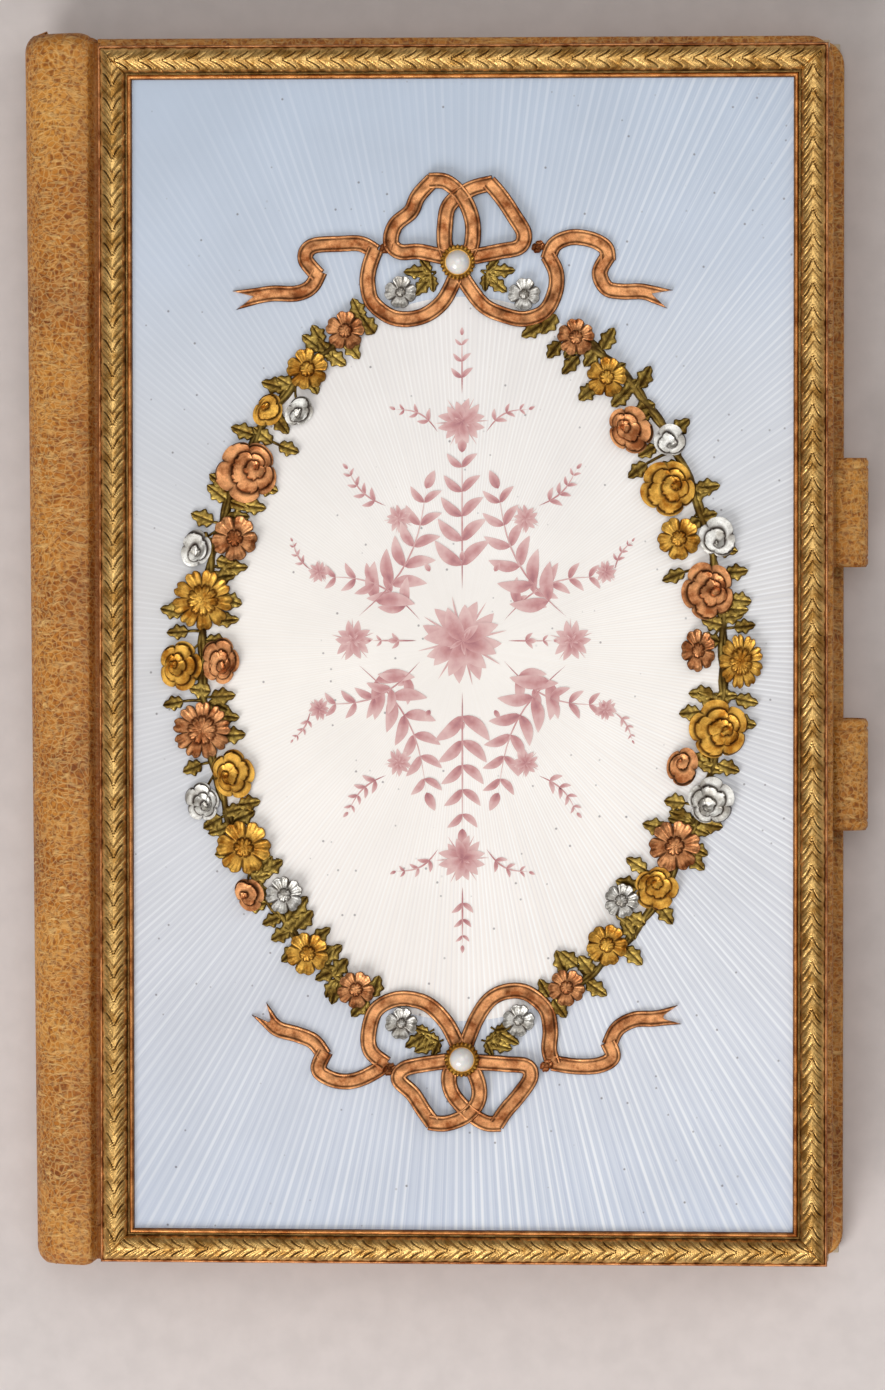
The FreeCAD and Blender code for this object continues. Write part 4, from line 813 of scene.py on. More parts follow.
def chased_section(along, across, reach):
    """Height and cut of the laurel band: leaves lap along it, with strokes on both their sides."""
    away = abs(across)
    body = EDGE_HEIGHT + (RIDGE_HEIGHT - EDGE_HEIGHT) * (1 - away ** 1.9)
    share = ((along - SWEEP * away ** 0.8) / PITCH) % 1.0
    step = (share - 0.5) * -0.1
    wide = 0.075 * sin(pi * min(1.0, away / 0.8)) ** 0.8 + 0.012
    main = line_at(share - 0.5 - 0.14 * sin(pi * away), wide)
    main *= 1 - smooth_step(0.74, 0.82, away)
    thin = 0.0
    for start, lean, length in FINE_STROKES:
        on = smooth_step(0.12, 0.25, away) * (1 - smooth_step(length - 0.1, length, away))
        thin = max(thin, line_at(share - start - lean * sin(pi * away), 0.034) * on)
    lap = 1 - smooth_step(0.0, 0.05, min(share, 1 - share))
    nick_share = (along / PITCH * 2.0) % 1.0
    nick = smooth_step(0.84, 0.92, away) * (1 - smooth_step(0.16, 0.3, abs(nick_share - 0.5)))
    ridge = 1 - smooth_step(0.03, 0.1, away)
    mitre = 1 - smooth_step(0.03, 0.12, reach - abs(along))
    height = body + step - 0.12 * main - 0.05 * thin - 0.06 * lap - 0.13 * nick + 0.05 * ridge
    height += 0.07 * sin(pi * share) * sin(pi * away)
    cut = max(0.9 * main, 0.6 * thin, 0.3 * lap * (1 - ridge), 0.3 * nick) * (1 - mitre)
    # Painted shade: the band darkens at its two edges, where it drops to the channel and to the
    # fillet.
    edge = 0.2 * smooth_step(0.95, 1.0, away)
    return height - 0.08 * mitre, min(1.0, cut + edge)


for quarter, name in enumerate(("rail_top", "rail_left", "rail_bottom", "rail_right")):
    rail = surfaces(f"{name}_laurel", [
        mitred_side(quarter, BAND_WIDE, BAND_TALL, BAND + BAND_LAP, RAIL_STEPS[quarter % 2],
                    RAIL_STEPS_ACROSS, chased_section)])
    hand_over_gold(rail, "chased", name)
# Painted shade: a thin sheet lies in the channel between the bezel and the rails, its gold darkened
# by the channel's shade.
channel = surfaces("shadowed_channel", [
    mitred_side(quarter, BAND_WIDE - BAND, BAND_TALL - BAND, CHANNEL_WIDTH, 2, 4,
                lambda along, across, reach: (CHANNEL_HEIGHT, CHANNEL_SHADE))
    for quarter in range(4)])
hand_over(channel, golds["chased"], "front_cover")


def round_section(crown, foot, groove):
    """A half-round bead, slightly uneven along its run, with painted shade at its two feet."""
    def section(along, across, reach):
        bead = sqrt(max(0.0, 1 - across ** 2))
        shade = smooth_step(0.55, 0.95, abs(across)) * groove
        return foot + (crown - foot) * bead + 0.01 * sin(along * 3.1), shade
    return section


for name, width, crown, foot, groove, gold, slot in (
        ("inner_fillet", 0.43, 0.9, 0.5, 0.8, "bezel", "chased_gold"),
        ("outer_fillet", 0.25, 0.65, 0.4, 0.5, "rose", "rose_gold")):
    low, high = box_mm(name)
    section = round_section(crown, foot, groove)
    fillet = surfaces(f"{name}_bead", [
        mitred_side(quarter, (high.x - low.x) / 2, (high.y - low.y) / 2, width,
                    *FILLET_STEPS, section)
        for quarter in range(4)])
    hand_over(fillet, golds[gold], "front_cover", name, SOFT)


# Painted sprays: a plain design in rose camaieu on the white enamel, a lozenge of blossoms and leaf
# sprigs round a rosette, laid with a fine brush in thin washes before the last firing.
SPRAY_SCALE, SPRAY_RISE = 1.08, 1.6
STROKE_STEPS = (10, 4)


def turned_place(x, y, degrees, along, across):
    angle = math.radians(degrees)
    return (x + along * cos(angle) - across * sin(angle),
            y + along * sin(angle) + across * cos(angle))


def stroke(x, y, degrees, length, breadth, bend=0.0):
    """One touch of the brush, from a fine start to a full belly, at a height of its own."""
    lift = 0.008 + 0.0009 * ((7.3 * x + 3.1 * y + 0.77 * degrees + 11 * length) % 60)

    def place(u, v):
        half = breadth * 0.42 * sin(pi * u ** 0.8) ** 0.8
        across = (2 * v - 1) * half + bend * length * sin(pi * u)
        east, north = turned_place(x, y, degrees, u * length, across)
        wash = 0.35 + 0.65 * (1 - u) * (1 - abs(2 * v - 1) * 0.5)
        return (CENTRE_X + SPRAY_SCALE * east, OVAL_Y + SPRAY_SCALE * north + SPRAY_RISE,
                ENAMEL_TOP + lift, wash)
    return *STROKE_STEPS, place


def painted_blossom(x, y, radius, petals, turn=0.0):
    made = []
    for petal in range(petals):
        degrees = turn + petal * 360 / petals
        length = radius * (0.92 + 0.08 * sin(petal * 2.4))
        for hand in (-1, 1):
            made.append(stroke(x, y, degrees + 14 * hand, length, radius * 0.46, 0.05 * hand))
        made.append(stroke(x, y, degrees + 3, radius * 1.06, radius * 0.07))
    for petal in range(petals * 2):
        made.append(stroke(x, y, turn + petal * 180 / petals, radius * 0.34, radius * 0.12))
    return made


def painted_sprig(x, y, degrees, length, pairs, bend):
    """A bent stem with pairs of leaves that grow smaller towards its tip."""
    made = [stroke(x, y, degrees, length, 0.16, bend)]
    for pair in range(1, pairs + 1):
        share = pair / (pairs + 0.6)
        across = bend * length * sin(pi * share)
        east, north = turned_place(x, y, degrees, share * length, across)
        lean = math.degrees(math.atan(bend * pi * cos(pi * share)))
        size = length * 0.24 * (1.25 - share * 0.7)
        for turn in (-48, 48):
            made.append(stroke(east, north, degrees + lean + turn, size, size * 0.42, 0.08))
    east, north = turned_place(x, y, degrees, length, 0)
    made.append(stroke(east, north, degrees - 20 * bend, length * 0.14, length * 0.08))
    return made


strokes = painted_blossom(0, 0, 3.4, 8, 10) + painted_blossom(0, 0, 1.9, 5, 30)
for side in (-1, 1):
    right = 0 if side > 0 else 180
    strokes += painted_blossom(side * 8.6, 0, 1.7, 5, 18)
    strokes += painted_blossom(0, side * 17.2, 2.0, 6, 0)
    strokes += painted_sprig(side * 3.6, 0, right, 3.6, 2, 0.0)
    strokes += painted_sprig(0, side * 4.0, side * 90, 10.8, 5, 0.0)
    strokes += painted_sprig(0, side * 19.4, side * 90, 4.6, 3, 0.0)
    for up in (-1, 1):
        strokes += painted_sprig(side * 8.2, up * 1.9, up * (118 if side > 0 else 62), 11.4, 6,
                                 0.12 * side * up)
        strokes += painted_blossom(side * 5.0, up * 9.6, 1.15, 5, 40)
        strokes += painted_sprig(side * 1.9, up * 16.4, up * (28 if side > 0 else 152), 3.8, 3,
                                 0.16 * side * up)
for degrees in (24, 156, 204, 336):
    side = 1 if degrees in (24, 336) else -1
    up = 1 if degrees < 180 else -1
    strokes += painted_sprig(side * 3.3, up * 1.6, degrees, 8.4, 5, 0.14 * side * up)
    strokes += painted_blossom(side * 11.3, up * 5.4, 0.95, 5, degrees)
    strokes += painted_sprig(side * 12.0, up * 5.6, degrees + side * up * 34, 2.6, 3, 0.1)
    strokes += painted_sprig(side * 6.0, up * 10.6, degrees + side * up * 20, 4.2, 4,
                             -0.12 * side * up)
for degrees in range(0, 360, 30):
    east, north = 5.1 * cos(math.radians(degrees)), 6.3 * sin(math.radians(degrees))
    strokes.append(stroke(east, north, degrees, 0.8, 0.5))
sprays = surfaces("painted_sprays", strokes)
camaieu, tree, shader = new_material("rose_camaieu", Roughness=0.25, Coat_Weight=0.5,
                                     Coat_Roughness=0.1)
wash = out(tree, "Attribute", output="Fac", attribute_name="cut")
pools = grain(tree, own_place(tree), 900.0, 4.0)
depth = times(tree, maths(tree, "ADD", pools, 0.35), wash)
coat(tree, shader, ramp(tree, depth, [(0.12, rgb(238, 218, 210)), (0.36, rgb(218, 176, 172)),
                                      (0.62, rgb(190, 124, 124)), (0.85, rgb(162, 88, 94))]))
hand_over(sprays, camaieu, "front_cover")


# Garland stems: a twisted twig of green gold along each side of the oval, with a short twig to each
# flower and small lobed leaves, cast, chased with veins and soldered to pins through the plate.
def garland_point(side, clock, outside=0.0):
    """A place beside the oval by its clock angle, and the way straight out from it."""
    angle = math.radians(clock)
    x, y = OVAL_WIDE * sin(angle), OVAL_TALL * cos(angle)
    away = Vector((x / OVAL_WIDE ** 2, y / OVAL_TALL ** 2)).normalized()
    return (Vector((side * (x + outside * away.x), y + outside * away.y)),
            Vector((side * away.x, away.y)))


def smooth_run(points, steps=8):
    """A smooth curve through plan points."""
    run = []
    padded = [points[0]] + list(points) + [points[-1]]
    for index in range(1, len(padded) - 2):
        a, b, c, d = (Vector(point) for point in padded[index - 1:index + 3])
        for step in range(steps):
            t = step / steps
            run.append(0.5 * ((2 * b) + (c - a) * t + (2 * a - 5 * b + 4 * c - d) * t * t
                              + (3 * b - a - 3 * c + d) * t ** 3))
    run.append(Vector(points[-1]))
    return run


def along_run(run, share):
    """A place on a run of points and the way across it."""
    spot = share * (len(run) - 1)
    index = min(int(spot), len(run) - 2)
    point = run[index].lerp(run[index + 1], spot - index)
    ahead = run[min(index + 2, len(run) - 1)] - run[max(index - 1, 0)]
    return point, Vector((-ahead.y, ahead.x)).normalized()


TWIG_STEPS, LEAF_STEPS = 6, (16, 12)
STEM_CLOCKS = [23.5 + index * 2 for index in range(68)]
STEM_WAVE = 0.55
SMALL_LEAF_CLOCKS = range(27, 156, 5)
LEAF_LENGTH, LEAF_BREADTH = 1.95, 1.3
SMALL_LEAF_LENGTH, SMALL_LEAF_BREADTH = 2.1, 1.35
LEAF_LIFT = 0.02
ON_STEM = 0.3


def twig(run, base, thick, tip, centre=(CENTRE_X, OVAL_Y)):
    """A half-round wire along a run of points, tapered towards its tip, with a light twist."""
    def place(u, v):
        point, across = along_run(run, u)
        radius = (thick + (tip - thick) * u) / 2
        angle = pi * v
        wobble = 0.12 * sin(u * len(run) * 0.9)
        offset = across * (radius * cos(angle) + wobble * radius)
        twist = 0.5 + 0.5 * sin(u * len(run) * 1.6 + v * 4)
        return (centre[0] + point.x + offset.x, centre[1] + point.y + offset.y,
                base + 1.5 * radius * sin(angle), 0.3 + 0.5 * twist ** 3)
    return max(TWIG_STEPS, len(run) * 2), TWIG_STEPS, place


def leaf(start, base, degrees, length, breadth, centre=(CENTRE_X, OVAL_Y)):
    """A lobed leaf with a sunk midrib and side veins, its blade curled a little upwards."""
    def place(u, v):
        across = min(1.0, max(-1.0, (2 * v - 1) * 1.2))
        lobes = 1 + 0.2 * sin(u * 17 - 1)
        half = breadth / 2 * max(0.02, sin(pi * min(1.0, u ** 0.8))) ** 0.75 * lobes
        east, north = turned_place(start.x, start.y, degrees, u * length, across * half)
        away = abs(across)
        vein = 0.5 + 0.5 * sin(u * 24 - away * 5)
        rib = 1 - smooth_step(0.05, 0.22, away)
        height = 0.2 + 0.13 * sin(pi * away) + 0.05 * u + 0.03 * vein * away
        # The midrib and veins are chased cuts; the dark rim of the blade is painted shade.
        cut = max(0.75 * rib, 0.45 * (1 - vein) ** 3, 0.75 * smooth_step(0.86, 1.0, away))
        if v in (0, 1):
            height = 0.0
        return centre[0] + east, centre[1] + north, base + height, cut
    return *LEAF_STEPS, place


def heading_of(way):
    return math.degrees(math.atan2(way.y, way.x))


def nearest_clock(side, x, y):
    return min(range(200, 1620, 5), key=lambda tenth: (garland_point(side, tenth / 10)[0]
                                                        - Vector((x, y))).length) / 10


LEFT_FLOWERS = [
    ("rose", "five", 26, 0.3, 1.35, 1.0), ("yellow", "five", 36.5, -0.1, 1.45, 1.0),
    ("yellow", "bud", 47, 0.3, 1.2, 0.8), ("white", "bud", 43.8, -1.9, 1.1, 0.8),
    ("rose", "rose", 58.2, -0.6, 2.1, 1.0), ("rose", "five", 69.6, -1.5, 1.6, 1.0),
    ("white", "bud", 72.8, 1.5, 1.3, 0.8), ("yellow", "daisy", 80.6, 0.2, 2.1, 1.0),
    ("yellow", "rose", 91, 1.8, 1.7, 0.85), ("rose", "rose", 90.2, -1.6, 1.6, 0.8),
    ("rose", "daisy", 101.2, 0.4, 2.0, 1.0), ("yellow", "rose", 109.2, -1.5, 1.7, 0.85),
    ("white", "rose", 112.2, 1.7, 1.35, 0.85), ("yellow", "six", 121.6, -0.3, 1.9, 1.0),
    ("rose", "bud", 129.2, 1.1, 1.2, 0.8), ("white", "five", 132.6, -1.4, 1.3, 1.0),
    ("yellow", "five", 144, 0.2, 1.5, 1.0), ("rose", "five", 155.9, 0.0, 1.3, 1.0)]
RIGHT_FLOWERS = [
    ("rose", "five", 26.4, -0.3, 1.3, 1.0), ("yellow", "five", 36.4, -1.2, 1.4, 1.0),
    ("rose", "rose", 47.4, -2.4, 1.7, 0.85), ("white", "bud", 52.8, 0.0, 1.1, 1.0),
    ("yellow", "rose", 60.2, -1.9, 1.9, 1.0), ("yellow", "five", 69.2, -2.4, 1.5, 1.0),
    ("white", "bud", 70.6, 0.8, 1.4, 0.9), ("rose", "rose", 78.8, -0.9, 2.0, 0.9),
    ("rose", "five", 88.4, -2.1, 1.5, 0.8), ("yellow", "daisy", 90.2, 1.5, 1.9, 0.8),
    ("yellow", "rose", 101, 0.0, 2.0, 1.0), ("rose", "bud", 108.2, -2.4, 1.35, 0.8),
    ("white", "rose", 112.4, 0.7, 1.6, 1.0), ("rose", "six", 121.6, -0.9, 1.8, 1.0),
    ("yellow", "rose", 129.9, -0.6, 1.5, 1.0), ("white", "five", 135.4, -2.5, 1.2, 1.0),
    ("yellow", "five", 144, -1.0, 1.45, 1.0), ("rose", "five", 155.9, -0.3, 1.3, 1.0)]
# Leaf middles, in millimetres from the oval's centre
LEFT_LEAVES = [
    (-8.9, 29.8), (-7.9, 28.6), (-12.4, 27.6), (-11.8, 26.4), (-10.8, 25.4), (-15.0, 23.5),
    (-17.1, 18.9), (-14.8, 17.8), (-16.6, 14.5), (-21.0, 14.0), (-19.0, 13.1), (-17.7, 12.8),
    (-22.2, 11.9), (-20.1, 8.3), (-19.3, 7.6), (-24.8, 4.1), (-19.6, 5.1), (-20.1, 3.2),
    (-24.3, 2.4), (-22.4, -2.8), (-20.4, -3.2), (-24.7, -3.6), (-20.0, -4.7), (-19.5, -6.4),
    (-23.1, -9.1), (-19.5, -12.8), (-18.2, -12.1), (-21.4, -13.8), (-20.7, -14.5), (-17.2, -18.3),
    (-16.1, -17.7), (-13.8, -21.1), (-16.2, -22.4), (-14.8, -22.8), (-13.3, -22.3), (-15.5, -23.6),
    (-12.2, -23.4), (-11.3, -25.3), (-10.4, -26.2), (-11.5, -27.0), (-11.3, -28.0), (-7.3, -27.9),
    (-8.6, -29.8)]
RIGHT_LEAVES = [
    (5.9, 27.9), (7.2, 28.6), (7.9, 26.2), (9.3, 24.9), (10.8, 25.8), (10.6, 22.6), (12.9, 24.7),
    (14.4, 23.0), (13.3, 22.2), (15.5, 21.1), (15.7, 17.7), (14.8, 16.2), (20.0, 14.3),
    (20.8, 12.3), (17.9, 7.3), (23.3, 7.5), (23.7, 5.2), (22.9, 3.5), (24.0, 2.8), (21.2, 3.0),
    (20.3, -2.8), (22.5, -3.2), (24.2, -3.3), (24.0, -5.3), (19.3, -4.3), (21.3, -9.1),
    (22.7, -9.0), (18.1, -11.9), (18.6, -13.2), (20.2, -14.3), (21.2, -14.1), (16.4, -14.0),
    (20.2, -16.0), (14.8, -17.4), (14.1, -18.9), (14.8, -22.1), (14.0, -23.0), (9.2, -25.3),
    (10.5, -25.9), (8.2, -25.8), (7.1, -27.9), (8.2, -29.7)]
for name, side, flowers, leaves in (("left", -1, LEFT_FLOWERS, LEFT_LEAVES),
                                    ("right", 1, RIGHT_FLOWERS, RIGHT_LEAVES)):
    parts = []
    for swing, phase, thick, tip in ((0.18, 0.0, 0.7, 0.5), (-0.22, 0.6, 0.5, 0.4)):
        run = [garland_point(side, clock, swing * sin(clock * STEM_WAVE + phase))[0]
               for clock in STEM_CLOCKS]
        parts.append(twig(run, ENAMEL_TOP, thick, tip))
    for clock, outside in [row[2:4] for row in flowers if abs(row[3]) > ON_STEM]:
        root = garland_point(side, clock - 4)[0]
        head, away = garland_point(side, clock, outside)
        bend = root.lerp(head, 0.5) + away * 0.2
        parts.append(twig(smooth_run([root, bend, head], 4), ENAMEL_TOP, 0.24, 0.2))
    for index, (x, y) in enumerate(leaves):
        root, away = garland_point(side, nearest_clock(side, x, y))
        reach = Vector((x, y)) - root
        heading = reach.normalized() if reach.length > 0.5 else away
        length = LEAF_LENGTH + 0.2 * sin(index * 2.3)
        breadth = LEAF_BREADTH + 0.12 * sin(index * 1.7)
        start = Vector((x, y)) - heading * length / 2
        degrees = heading_of(heading) + 12 * sin(index * 1.9)
        if (start - root).length > 0.4:
            parts.append(twig(smooth_run([root, (root + start) / 2, start + heading * 0.2], 4),
                              ENAMEL_TOP, 0.3, 0.24))
        base = ENAMEL_TOP + LEAF_LIFT + LEAF_LIFT * (index % 4)
        parts.append(leaf(start, base, degrees, length, breadth))
    for index, clock in enumerate(SMALL_LEAF_CLOCKS):
        hand = 1 if index % 2 else -1
        root, away = garland_point(side, clock, 0.25 * hand)
        degrees = heading_of(away * hand) + 24 * sin(index * 2.6)
        parts.append(leaf(root, ENAMEL_TOP + LEAF_LIFT / 2, degrees, SMALL_LEAF_LENGTH,
                          SMALL_LEAF_BREADTH))
    stem = surfaces(f"garland_{name}_stem_and_leaves", parts)
    hand_over_gold(stem, "green", f"garland_stem_{name}")

# Flowers: each head is cast in its own gold, chased with veins, granulated or beaded in its middle,
# and stands on the stem. Roses and buds close in a spiral of petals.
PETALS = {"four": 4, "five": 5, "six": 6, "daisy": 9, "rose": 5, "bud": 3}
EYES = {"four": 0.3, "five": 0.36, "six": 0.36, "daisy": 0.5}
HEAD_STEPS = 20
FULLNESS = 1.26
FLOWER_LIFT = 0.3


def flower_head(kind, radius, stretch, x, y, base, degrees, seed):
    """A flower as one polar grid: u from its middle to its rim, v round it."""
    petals = PETALS[kind]

    def place(u, v):
        rim = min(1.0, u * HEAD_STEPS / (HEAD_STEPS - 1))
        petal = v * petals % 1.0
        lobe = sin(pi * petal)
        wander = noise.noise(Vector((v * 6, rim * 3, seed)))
        if kind in ("rose", "bud"):
            turns = 3.0 if kind == "rose" else 2.0
            reach = 0.82 + 0.18 * lobe ** 0.5 + 0.05 * wander
            skew = 0.16 * sin(2 * pi * (v + seed * 0.37)) * rim * (1 - rim)
            wind = ((rim + skew) ** 0.85 * turns - v + 0.22 * wander) % 1.0
            height = 0.22 + 0.42 * (1 - rim ** 1.8) + 0.3 * wind ** 1.5
            # Dark in the spiral creases and between the petals: chased cuts with painted shade
            # added.
            cut = (1 - smooth_step(0.0, 0.36, wind)) * smooth_step(0.02, 0.12, rim)
            cut = max(cut, 0.35 * (1 - lobe) * smooth_step(0.5, 0.8, rim))
            cut = max(cut, 0.85 * (1 - smooth_step(0.0, 0.3, lobe)) * smooth_step(0.72, 0.9, rim))
        else:
            eye = EYES[kind]
            notched = 1 - 0.1 * exp(-((petal - 0.5) / 0.1) ** 2)
            reach = (0.7 + 0.3 * lobe ** 0.4) * notched + 0.02 * wander
            gap = 1 - smooth_step(0.05, 0.34, lobe)
            vein = 0.5 + 0.5 * cos((petal - 0.5) * (26 if kind == "daisy" else 34))
            if rim < eye:
                inner = rim / eye
                rings = sin(v * 2 * pi * round(12 * max(inner, 0.3)))
                beads = 0.5 + 0.5 * rings * sin(inner * 13)
                height = 0.42 + 0.26 * sqrt(max(0.0, 1 - inner ** 2)) + 0.05 * beads
                # Dark between the beads of the granulation; the eye's edge gets painted shade.
                cut = 0.55 * (1 - beads) ** 2 + 0.5 * smooth_step(0.86, 1.0, inner)
            else:
                blade = (rim - eye) / (1 - eye)
                height = 0.2 + 0.2 * blade + 0.14 * smooth_step(0.6, 1.0, blade) * lobe
                height -= 0.2 * gap * blade - 0.02 * vein
                # The veins are chased cuts; the gaps between the petals, their feet round the eye,
                # their rims and the part near the middle are darkened with painted shade.
                cut = max(0.9 * gap * smooth_step(0.1, 0.4, blade), 0.5 * (1 - vein) ** 4 * blade,
                          0.9 * (1 - smooth_step(0.0, 0.14, blade)),
                          0.75 * smooth_step(0.93, 1.0, blade),
                          0.3 * (1 - smooth_step(0.1, 0.6, blade)))
        away = radius * reach * rim
        angle = 2 * pi * v
        aside = 0.36 * radius * (1 - rim) ** 1.2 if kind in ("rose", "bud") else 0.0
        along = (away * cos(angle) + aside * cos(seed * 2.1)) * stretch
        across = away * sin(angle) + aside * sin(seed * 2.1)
        east, north = turned_place(x, y, degrees, along, across)
        return east, north, base + (0.0 if u == 1 else height), min(1.0, cut)
    return HEAD_STEPS, petals * (16 if petals > 6 else 22), place


for name, side, flowers in (("left", -1, LEFT_FLOWERS), ("right", 1, RIGHT_FLOWERS)):
    for metal_name in ("rose", "yellow", "white"):
        heads = []
        for index, (gold, kind, clock, outside, radius, stretch) in enumerate(flowers):
            if gold == metal_name:
                spot, away = garland_point(side, clock, outside)
                heads.append(flower_head(kind, FULLNESS * radius, stretch, CENTRE_X + spot.x,
                                         OVAL_Y + spot.y, ENAMEL_TOP + FLOWER_LIFT,
                                         heading_of(away), index + 20 * side))
        blooms = surfaces(f"garland_{name}_{metal_name}_blooms", heads)
        hand_over_gold(blooms, metal_name, f"garland_{metal_name}_flowers_{name}")


# Bows: rose gold ribbon with raised edges and engraved lines, laid in two heights. The long ends
# fold back on themselves and are cut as fishtails; white blossoms and sprigs fill the angles.
RIBBON_WIDTH, RIBBON_STEP = 1.36, 0.35
RIBBON_STEPS_ACROSS = 18
TAIL_SHARE, TAIL_CUT, TAIL_FLARE = 0.88, 1.7, 0.2
TAIL_REACH = 16
BLOSSOM_RADIUS, LUG_RADIUS, BLOSSOM_TURN = 1.4, 0.5, 40
SPRIG_LEAVES = ((0.2, 48, 1.3), (0.2, -48, 1.3), (0.4, 4, 1.7))


def ribbon(points, base, x, y, seed):
    """A bent ribbon about a bow's knot; an end that lies far out is cut as a fishtail."""
    run = smooth_run(points, 8)
    start_tail, end_tail = (abs(points[end][0]) > TAIL_REACH for end in (0, -1))

    def place(u, v):
        across_share = min(1.0, max(-1.0, (2 * v - 1) * 1.13))
        away = abs(across_share)
        point, across = along_run(run, u)
        flare = 1.0
        for has_tail, way, to_end in ((end_tail, 1, u), (start_tail, -1, 1 - u)):
            if has_tail:
                cut_back = smooth_step(TAIL_SHARE, 1.0, to_end) * (away - 0.45) * TAIL_CUT
                point = point + Vector((across.y, -across.x)) * way * cut_back
                flare += TAIL_FLARE * smooth_step(0.85, 1, to_end)
        spot = point + across * across_share * RIBBON_WIDTH / 2 * flare
        fold = 0.05 * sin(u * len(run) * 0.5 + seed) * across_share
        height = 0.3 + 0.07 * smooth_step(0.62, 0.74, away) - 0.12 * smooth_step(0.86, 1, away)
        patina = noise.noise(Vector((u * len(run) * 0.22, across_share * 1.4, seed)))
        # An engraved line runs near each edge and patina lies in patches along the middle; the dark
        # outer edges are painted shade.
        cut = 0.8 * line_at(away - 0.6, 0.15) + 0.9 * smooth_step(0.88, 1, away)
        cut = max(0.0, cut + 0.75 * max(0.0, patina) * (1 - smooth_step(0.5, 0.7, away)))
        rise = 0.0 if v in (0, 1) or u in (0, 1) else height + fold
        return x + spot.x, y + spot.y, base + rise, min(0.9, cut)
    return len(run) * 2, RIBBON_STEPS_ACROSS, place


BOW_TOP = {
    "streamers": [
        [(-18.2, -3.0), (-15.9, -2.6), (-13.8, -2.6), (-12.5, -2.0), (-11.8, -0.7)],
        [(-11.9, -1.1), (-13.0, 0.3), (-12.4, 1.4), (-10.0, 1.6), (-8.3, 1.6), (-7.0, 0.9)],
        [(-7.0, 1.2), (-7.6, -0.5), (-7.7, -2.0), (-7.2, -3.5), (-5.4, -4.7), (-3.2, -4.6),
         (-1.4, -3.4), (-0.2, -1.2)],
        [(7.6, 0.2), (8.2, 1.5), (9.6, 2.1), (11.3, 1.9), (12.5, 1.2), (12.7, 0.1)],
        [(12.7, 0.5), (12.0, -0.9), (12.6, -2.2), (13.9, -2.5), (15.6, -2.5), (17.1, -2.9)],
        [(7.6, 0.6), (8.3, -0.9), (8.2, -2.6), (7.3, -4.2), (5.6, -4.8), (3.7, -4.4), (2.0, -3.5),
         (0.3, -1.2)]],
    "loops": [
        [(-0.6, 0.3), (-3.2, 0.9), (-4.9, 0.9), (-5.7, 1.7), (-5.3, 3.2), (-4.0, 4.3), (-3.4, 5.6),
         (-2.1, 7.0)],
        [(-2.5, 6.9), (-1.0, 6.8), (0.4, 5.5), (1.2, 3.6), (1.2, 1.6), (0.6, 0.3)],
        [(0.4, 0.3), (3.5, 0.9), (5.2, 1.3), (5.6, 2.4), (4.7, 4.0), (3.7, 5.5), (2.6, 6.8)],
        [(3.0, 6.7), (1.1, 6.2), (-0.7, 4.9), (-1.1, 3.2), (-1.1, 1.4), (-0.6, 0.3)]],
    "lugs": [(-6.1, 1.3), (6.8, 1.3)],
    "blossoms": [(-4.9, -2.5), (5.6, -2.7)],
    "sprigs": [((-1.9, -0.8), (-4.1, -0.7)), ((-1.9, -0.8), (-3.4, -2.3)),
               ((1.9, -0.7), (4.6, -0.8)), ((1.9, -0.7), (3.8, -2.4))]}
BOW_TAIL = {
    "streamers": [
        [(-16.8, 3.5), (-15.8, 2.5), (-14.1, 2.0), (-12.7, 1.4), (-11.8, 0.2)],
        [(-11.7, 0.6), (-12.3, -0.9), (-11.4, -1.7), (-10.0, -2.0), (-8.6, -1.7), (-7.1, -0.9),
         (-6.5, -0.2)],
        [(-6.5, -0.5), (-7.8, 0.6), (-8.0, 2.2), (-7.3, 4.2), (-5.4, 5.1), (-3.1, 4.7), (-1.4, 3.1),
         (-0.4, 1.2)],
        [(17.6, 3.7), (16.3, 3.5), (14.6, 3.4), (13.2, 2.6), (12.5, 1.2)],
        [(12.4, 1.5), (12.8, 0.2), (11.6, -0.5), (9.7, -0.6), (7.6, -0.3)],
        [(7.8, -0.5), (7.4, 0.8), (7.5, 2.5), (7.1, 4.3), (5.6, 5.6), (4.0, 5.8), (2.4, 5.1),
         (1.2, 3.4), (0.3, 1.2)]],
    "loops": [
        [(-0.8, -0.1), (-3.5, -0.5), (-5.0, -0.9), (-5.4, -1.8), (-4.2, -3.0), (-3.3, -4.4),
         (-2.5, -5.5)],
        [(-2.9, -5.4), (-1.4, -5.5), (0.2, -4.9), (1.3, -3.7), (1.4, -2.2), (0.7, -0.4)],
        [(0.8, -0.2), (3.7, -0.4), (5.5, -0.6), (5.8, -1.6), (4.8, -3.1), (3.7, -4.4), (2.9, -5.6)],
        [(3.3, -5.5), (1.9, -5.4), (0.3, -4.3), (-0.9, -2.8), (-1.1, -1.3), (-0.5, -0.3)]],
    "lugs": [(-6.2, -0.9), (7.2, -0.5)],
    "blossoms": [(-5.2, 3.0), (4.8, 3.3)],
    "sprigs": [((-2.4, 2.5), (-4.7, 1.2)), ((-1.6, 1.6), (-3.6, 0.9)), ((2.4, 2.7), (4.4, 1.4)),
               ((1.6, 1.6), (3.7, 0.9))]}
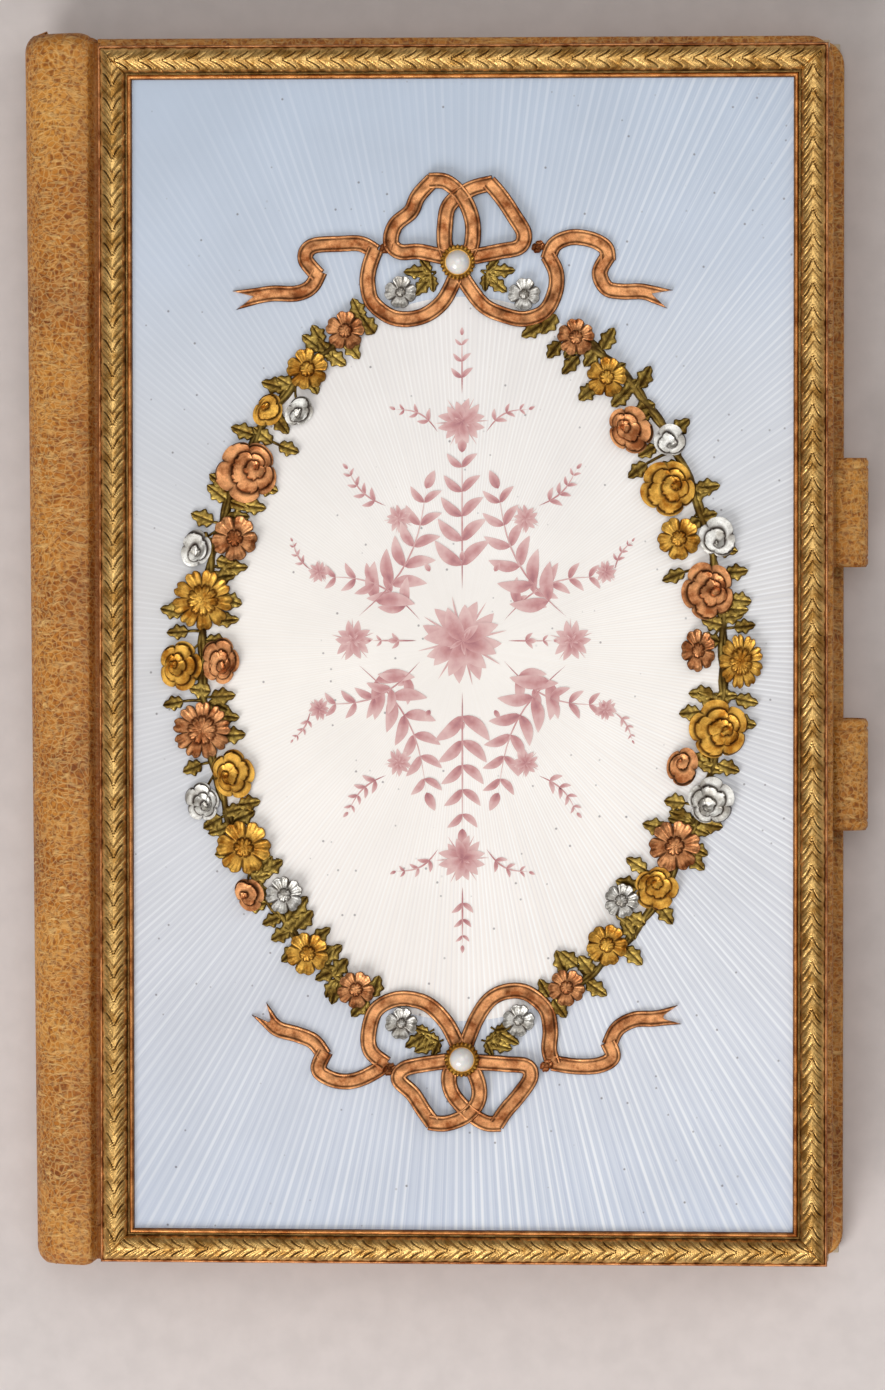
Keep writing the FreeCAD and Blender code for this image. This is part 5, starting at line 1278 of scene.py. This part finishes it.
for name, bow in (("top", BOW_TOP), ("tail", BOW_TAIL)):
    low, high = box_mm(f"pearl_{name}")
    bow_x, bow_y = (low.x + high.x) / 2, (low.y + high.y) / 2
    for layer, base in (("streamers", ENAMEL_TOP), ("loops", ENAMEL_TOP + RIBBON_STEP)):
        parts = [ribbon(points, base + 0.03 * (index % 3), bow_x, bow_y, index * 1.7)
                 for index, points in enumerate(bow[layer])]
        if layer == "streamers":
            parts += [flower_head("four", LUG_RADIUS, 1.3, bow_x + x, bow_y + y, base + 0.2,
                                  BLOSSOM_TURN, 3) for x, y in bow["lugs"]]
        band = surfaces(f"bow_{name}_{layer}_ribbon", parts)
        hand_over_gold(band, "rose", f"bow_{name}_{layer}")
    blossoms = surfaces(f"bow_{name}_white_blossoms", [
        flower_head("four", BLOSSOM_RADIUS, 1.0, bow_x + x, bow_y + y, ENAMEL_TOP + 0.1,
                    BLOSSOM_TURN, 5) for x, y in bow["blossoms"]])
    hand_over_gold(blossoms, "white", f"bow_{name}_blossoms")
    parts = []
    for root, tip in bow["sprigs"]:
        root, tip = Vector(root), Vector(tip)
        run = [root, root.lerp(tip, 0.3), root.lerp(tip, 0.7)]
        parts.append(twig(run, ENAMEL_TOP, 0.2, 0.14, (bow_x, bow_y)))
        for share, turn, size in SPRIG_LEAVES:
            parts.append(leaf(root.lerp(tip, share), ENAMEL_TOP + LEAF_LIFT,
                              heading_of(tip - root) + turn, 1.1 * size, 0.66 * size,
                              (bow_x, bow_y)))
    sprigs = surfaces(f"bow_{name}_leaf_sprays", parts)
    hand_over_gold(sprigs, "green", f"bow_{name}_sprigs")

# Pearls: a half pearl in a turned yellow gold cup with a beaded, cut edge, at the knot of each bow.
# The pearls have a bluish lustre and a slightly uneven skin.
CUP_RADIUS, CUP_RIM, CUP_TEETH = 1.02, 0.4, 24
CUP_STEPS = (9, 240)


def cup_point(u, v, centre, base):
    """The cup's rim from the pearl outwards, with a bead on each of its teeth."""
    angle = 2 * pi * v
    tooth = 0.5 + 0.5 * cos(CUP_TEETH * angle)
    rim = min(1.0, u * CUP_STEPS[0] / (CUP_STEPS[0] - 1))
    radius = CUP_RADIUS + (CUP_RIM + 0.1 * tooth) * rim
    bead = sin(pi * min(1.0, max(0.0, (rim - 0.3) / 0.7)))
    height = 0.34 + 0.22 * bead * (0.35 + 0.65 * tooth)
    cut = max(0.85 * (1 - tooth) ** 1.5 * smooth_step(0.25, 0.5, rim),
              0.8 * line_at(rim - 0.24, 0.14))
    return (centre.x + radius * cos(angle), centre.y + radius * sin(angle),
            base + (0.0 if u == 1 else height), min(1.0, cut))


for name in ("top", "tail"):
    low, high = box_mm(f"pearl_cup_{name}")
    cup = surfaces(f"{name}_pearl_cup", [
        (*CUP_STEPS, lambda u, v: cup_point(u, v, (low + high) / 2, low.z))])
    hand_over_gold(cup, "yellow", f"pearl_cup_{name}")
pearl_skin, tree, shader = new_material("pearl_lustre", Roughness=0.2, Coat_Weight=0.8,
                                        Coat_Roughness=0.06, Subsurface_Weight=0.1,
                                        Subsurface_Scale=0.0006, Sheen_Weight=0.25)
orient = grain(tree, own_place(tree), 620.0, 3.0)
tone = ramp(tree, orient, [(0.3, rgb(214, 216, 222)), (0.5, rgb(236, 230, 222)),
                           (0.7, rgb(222, 226, 232))])
coat(tree, shader, tone, orient, 0.15, 0.04)
set_slots({"pearl": pearl_skin})
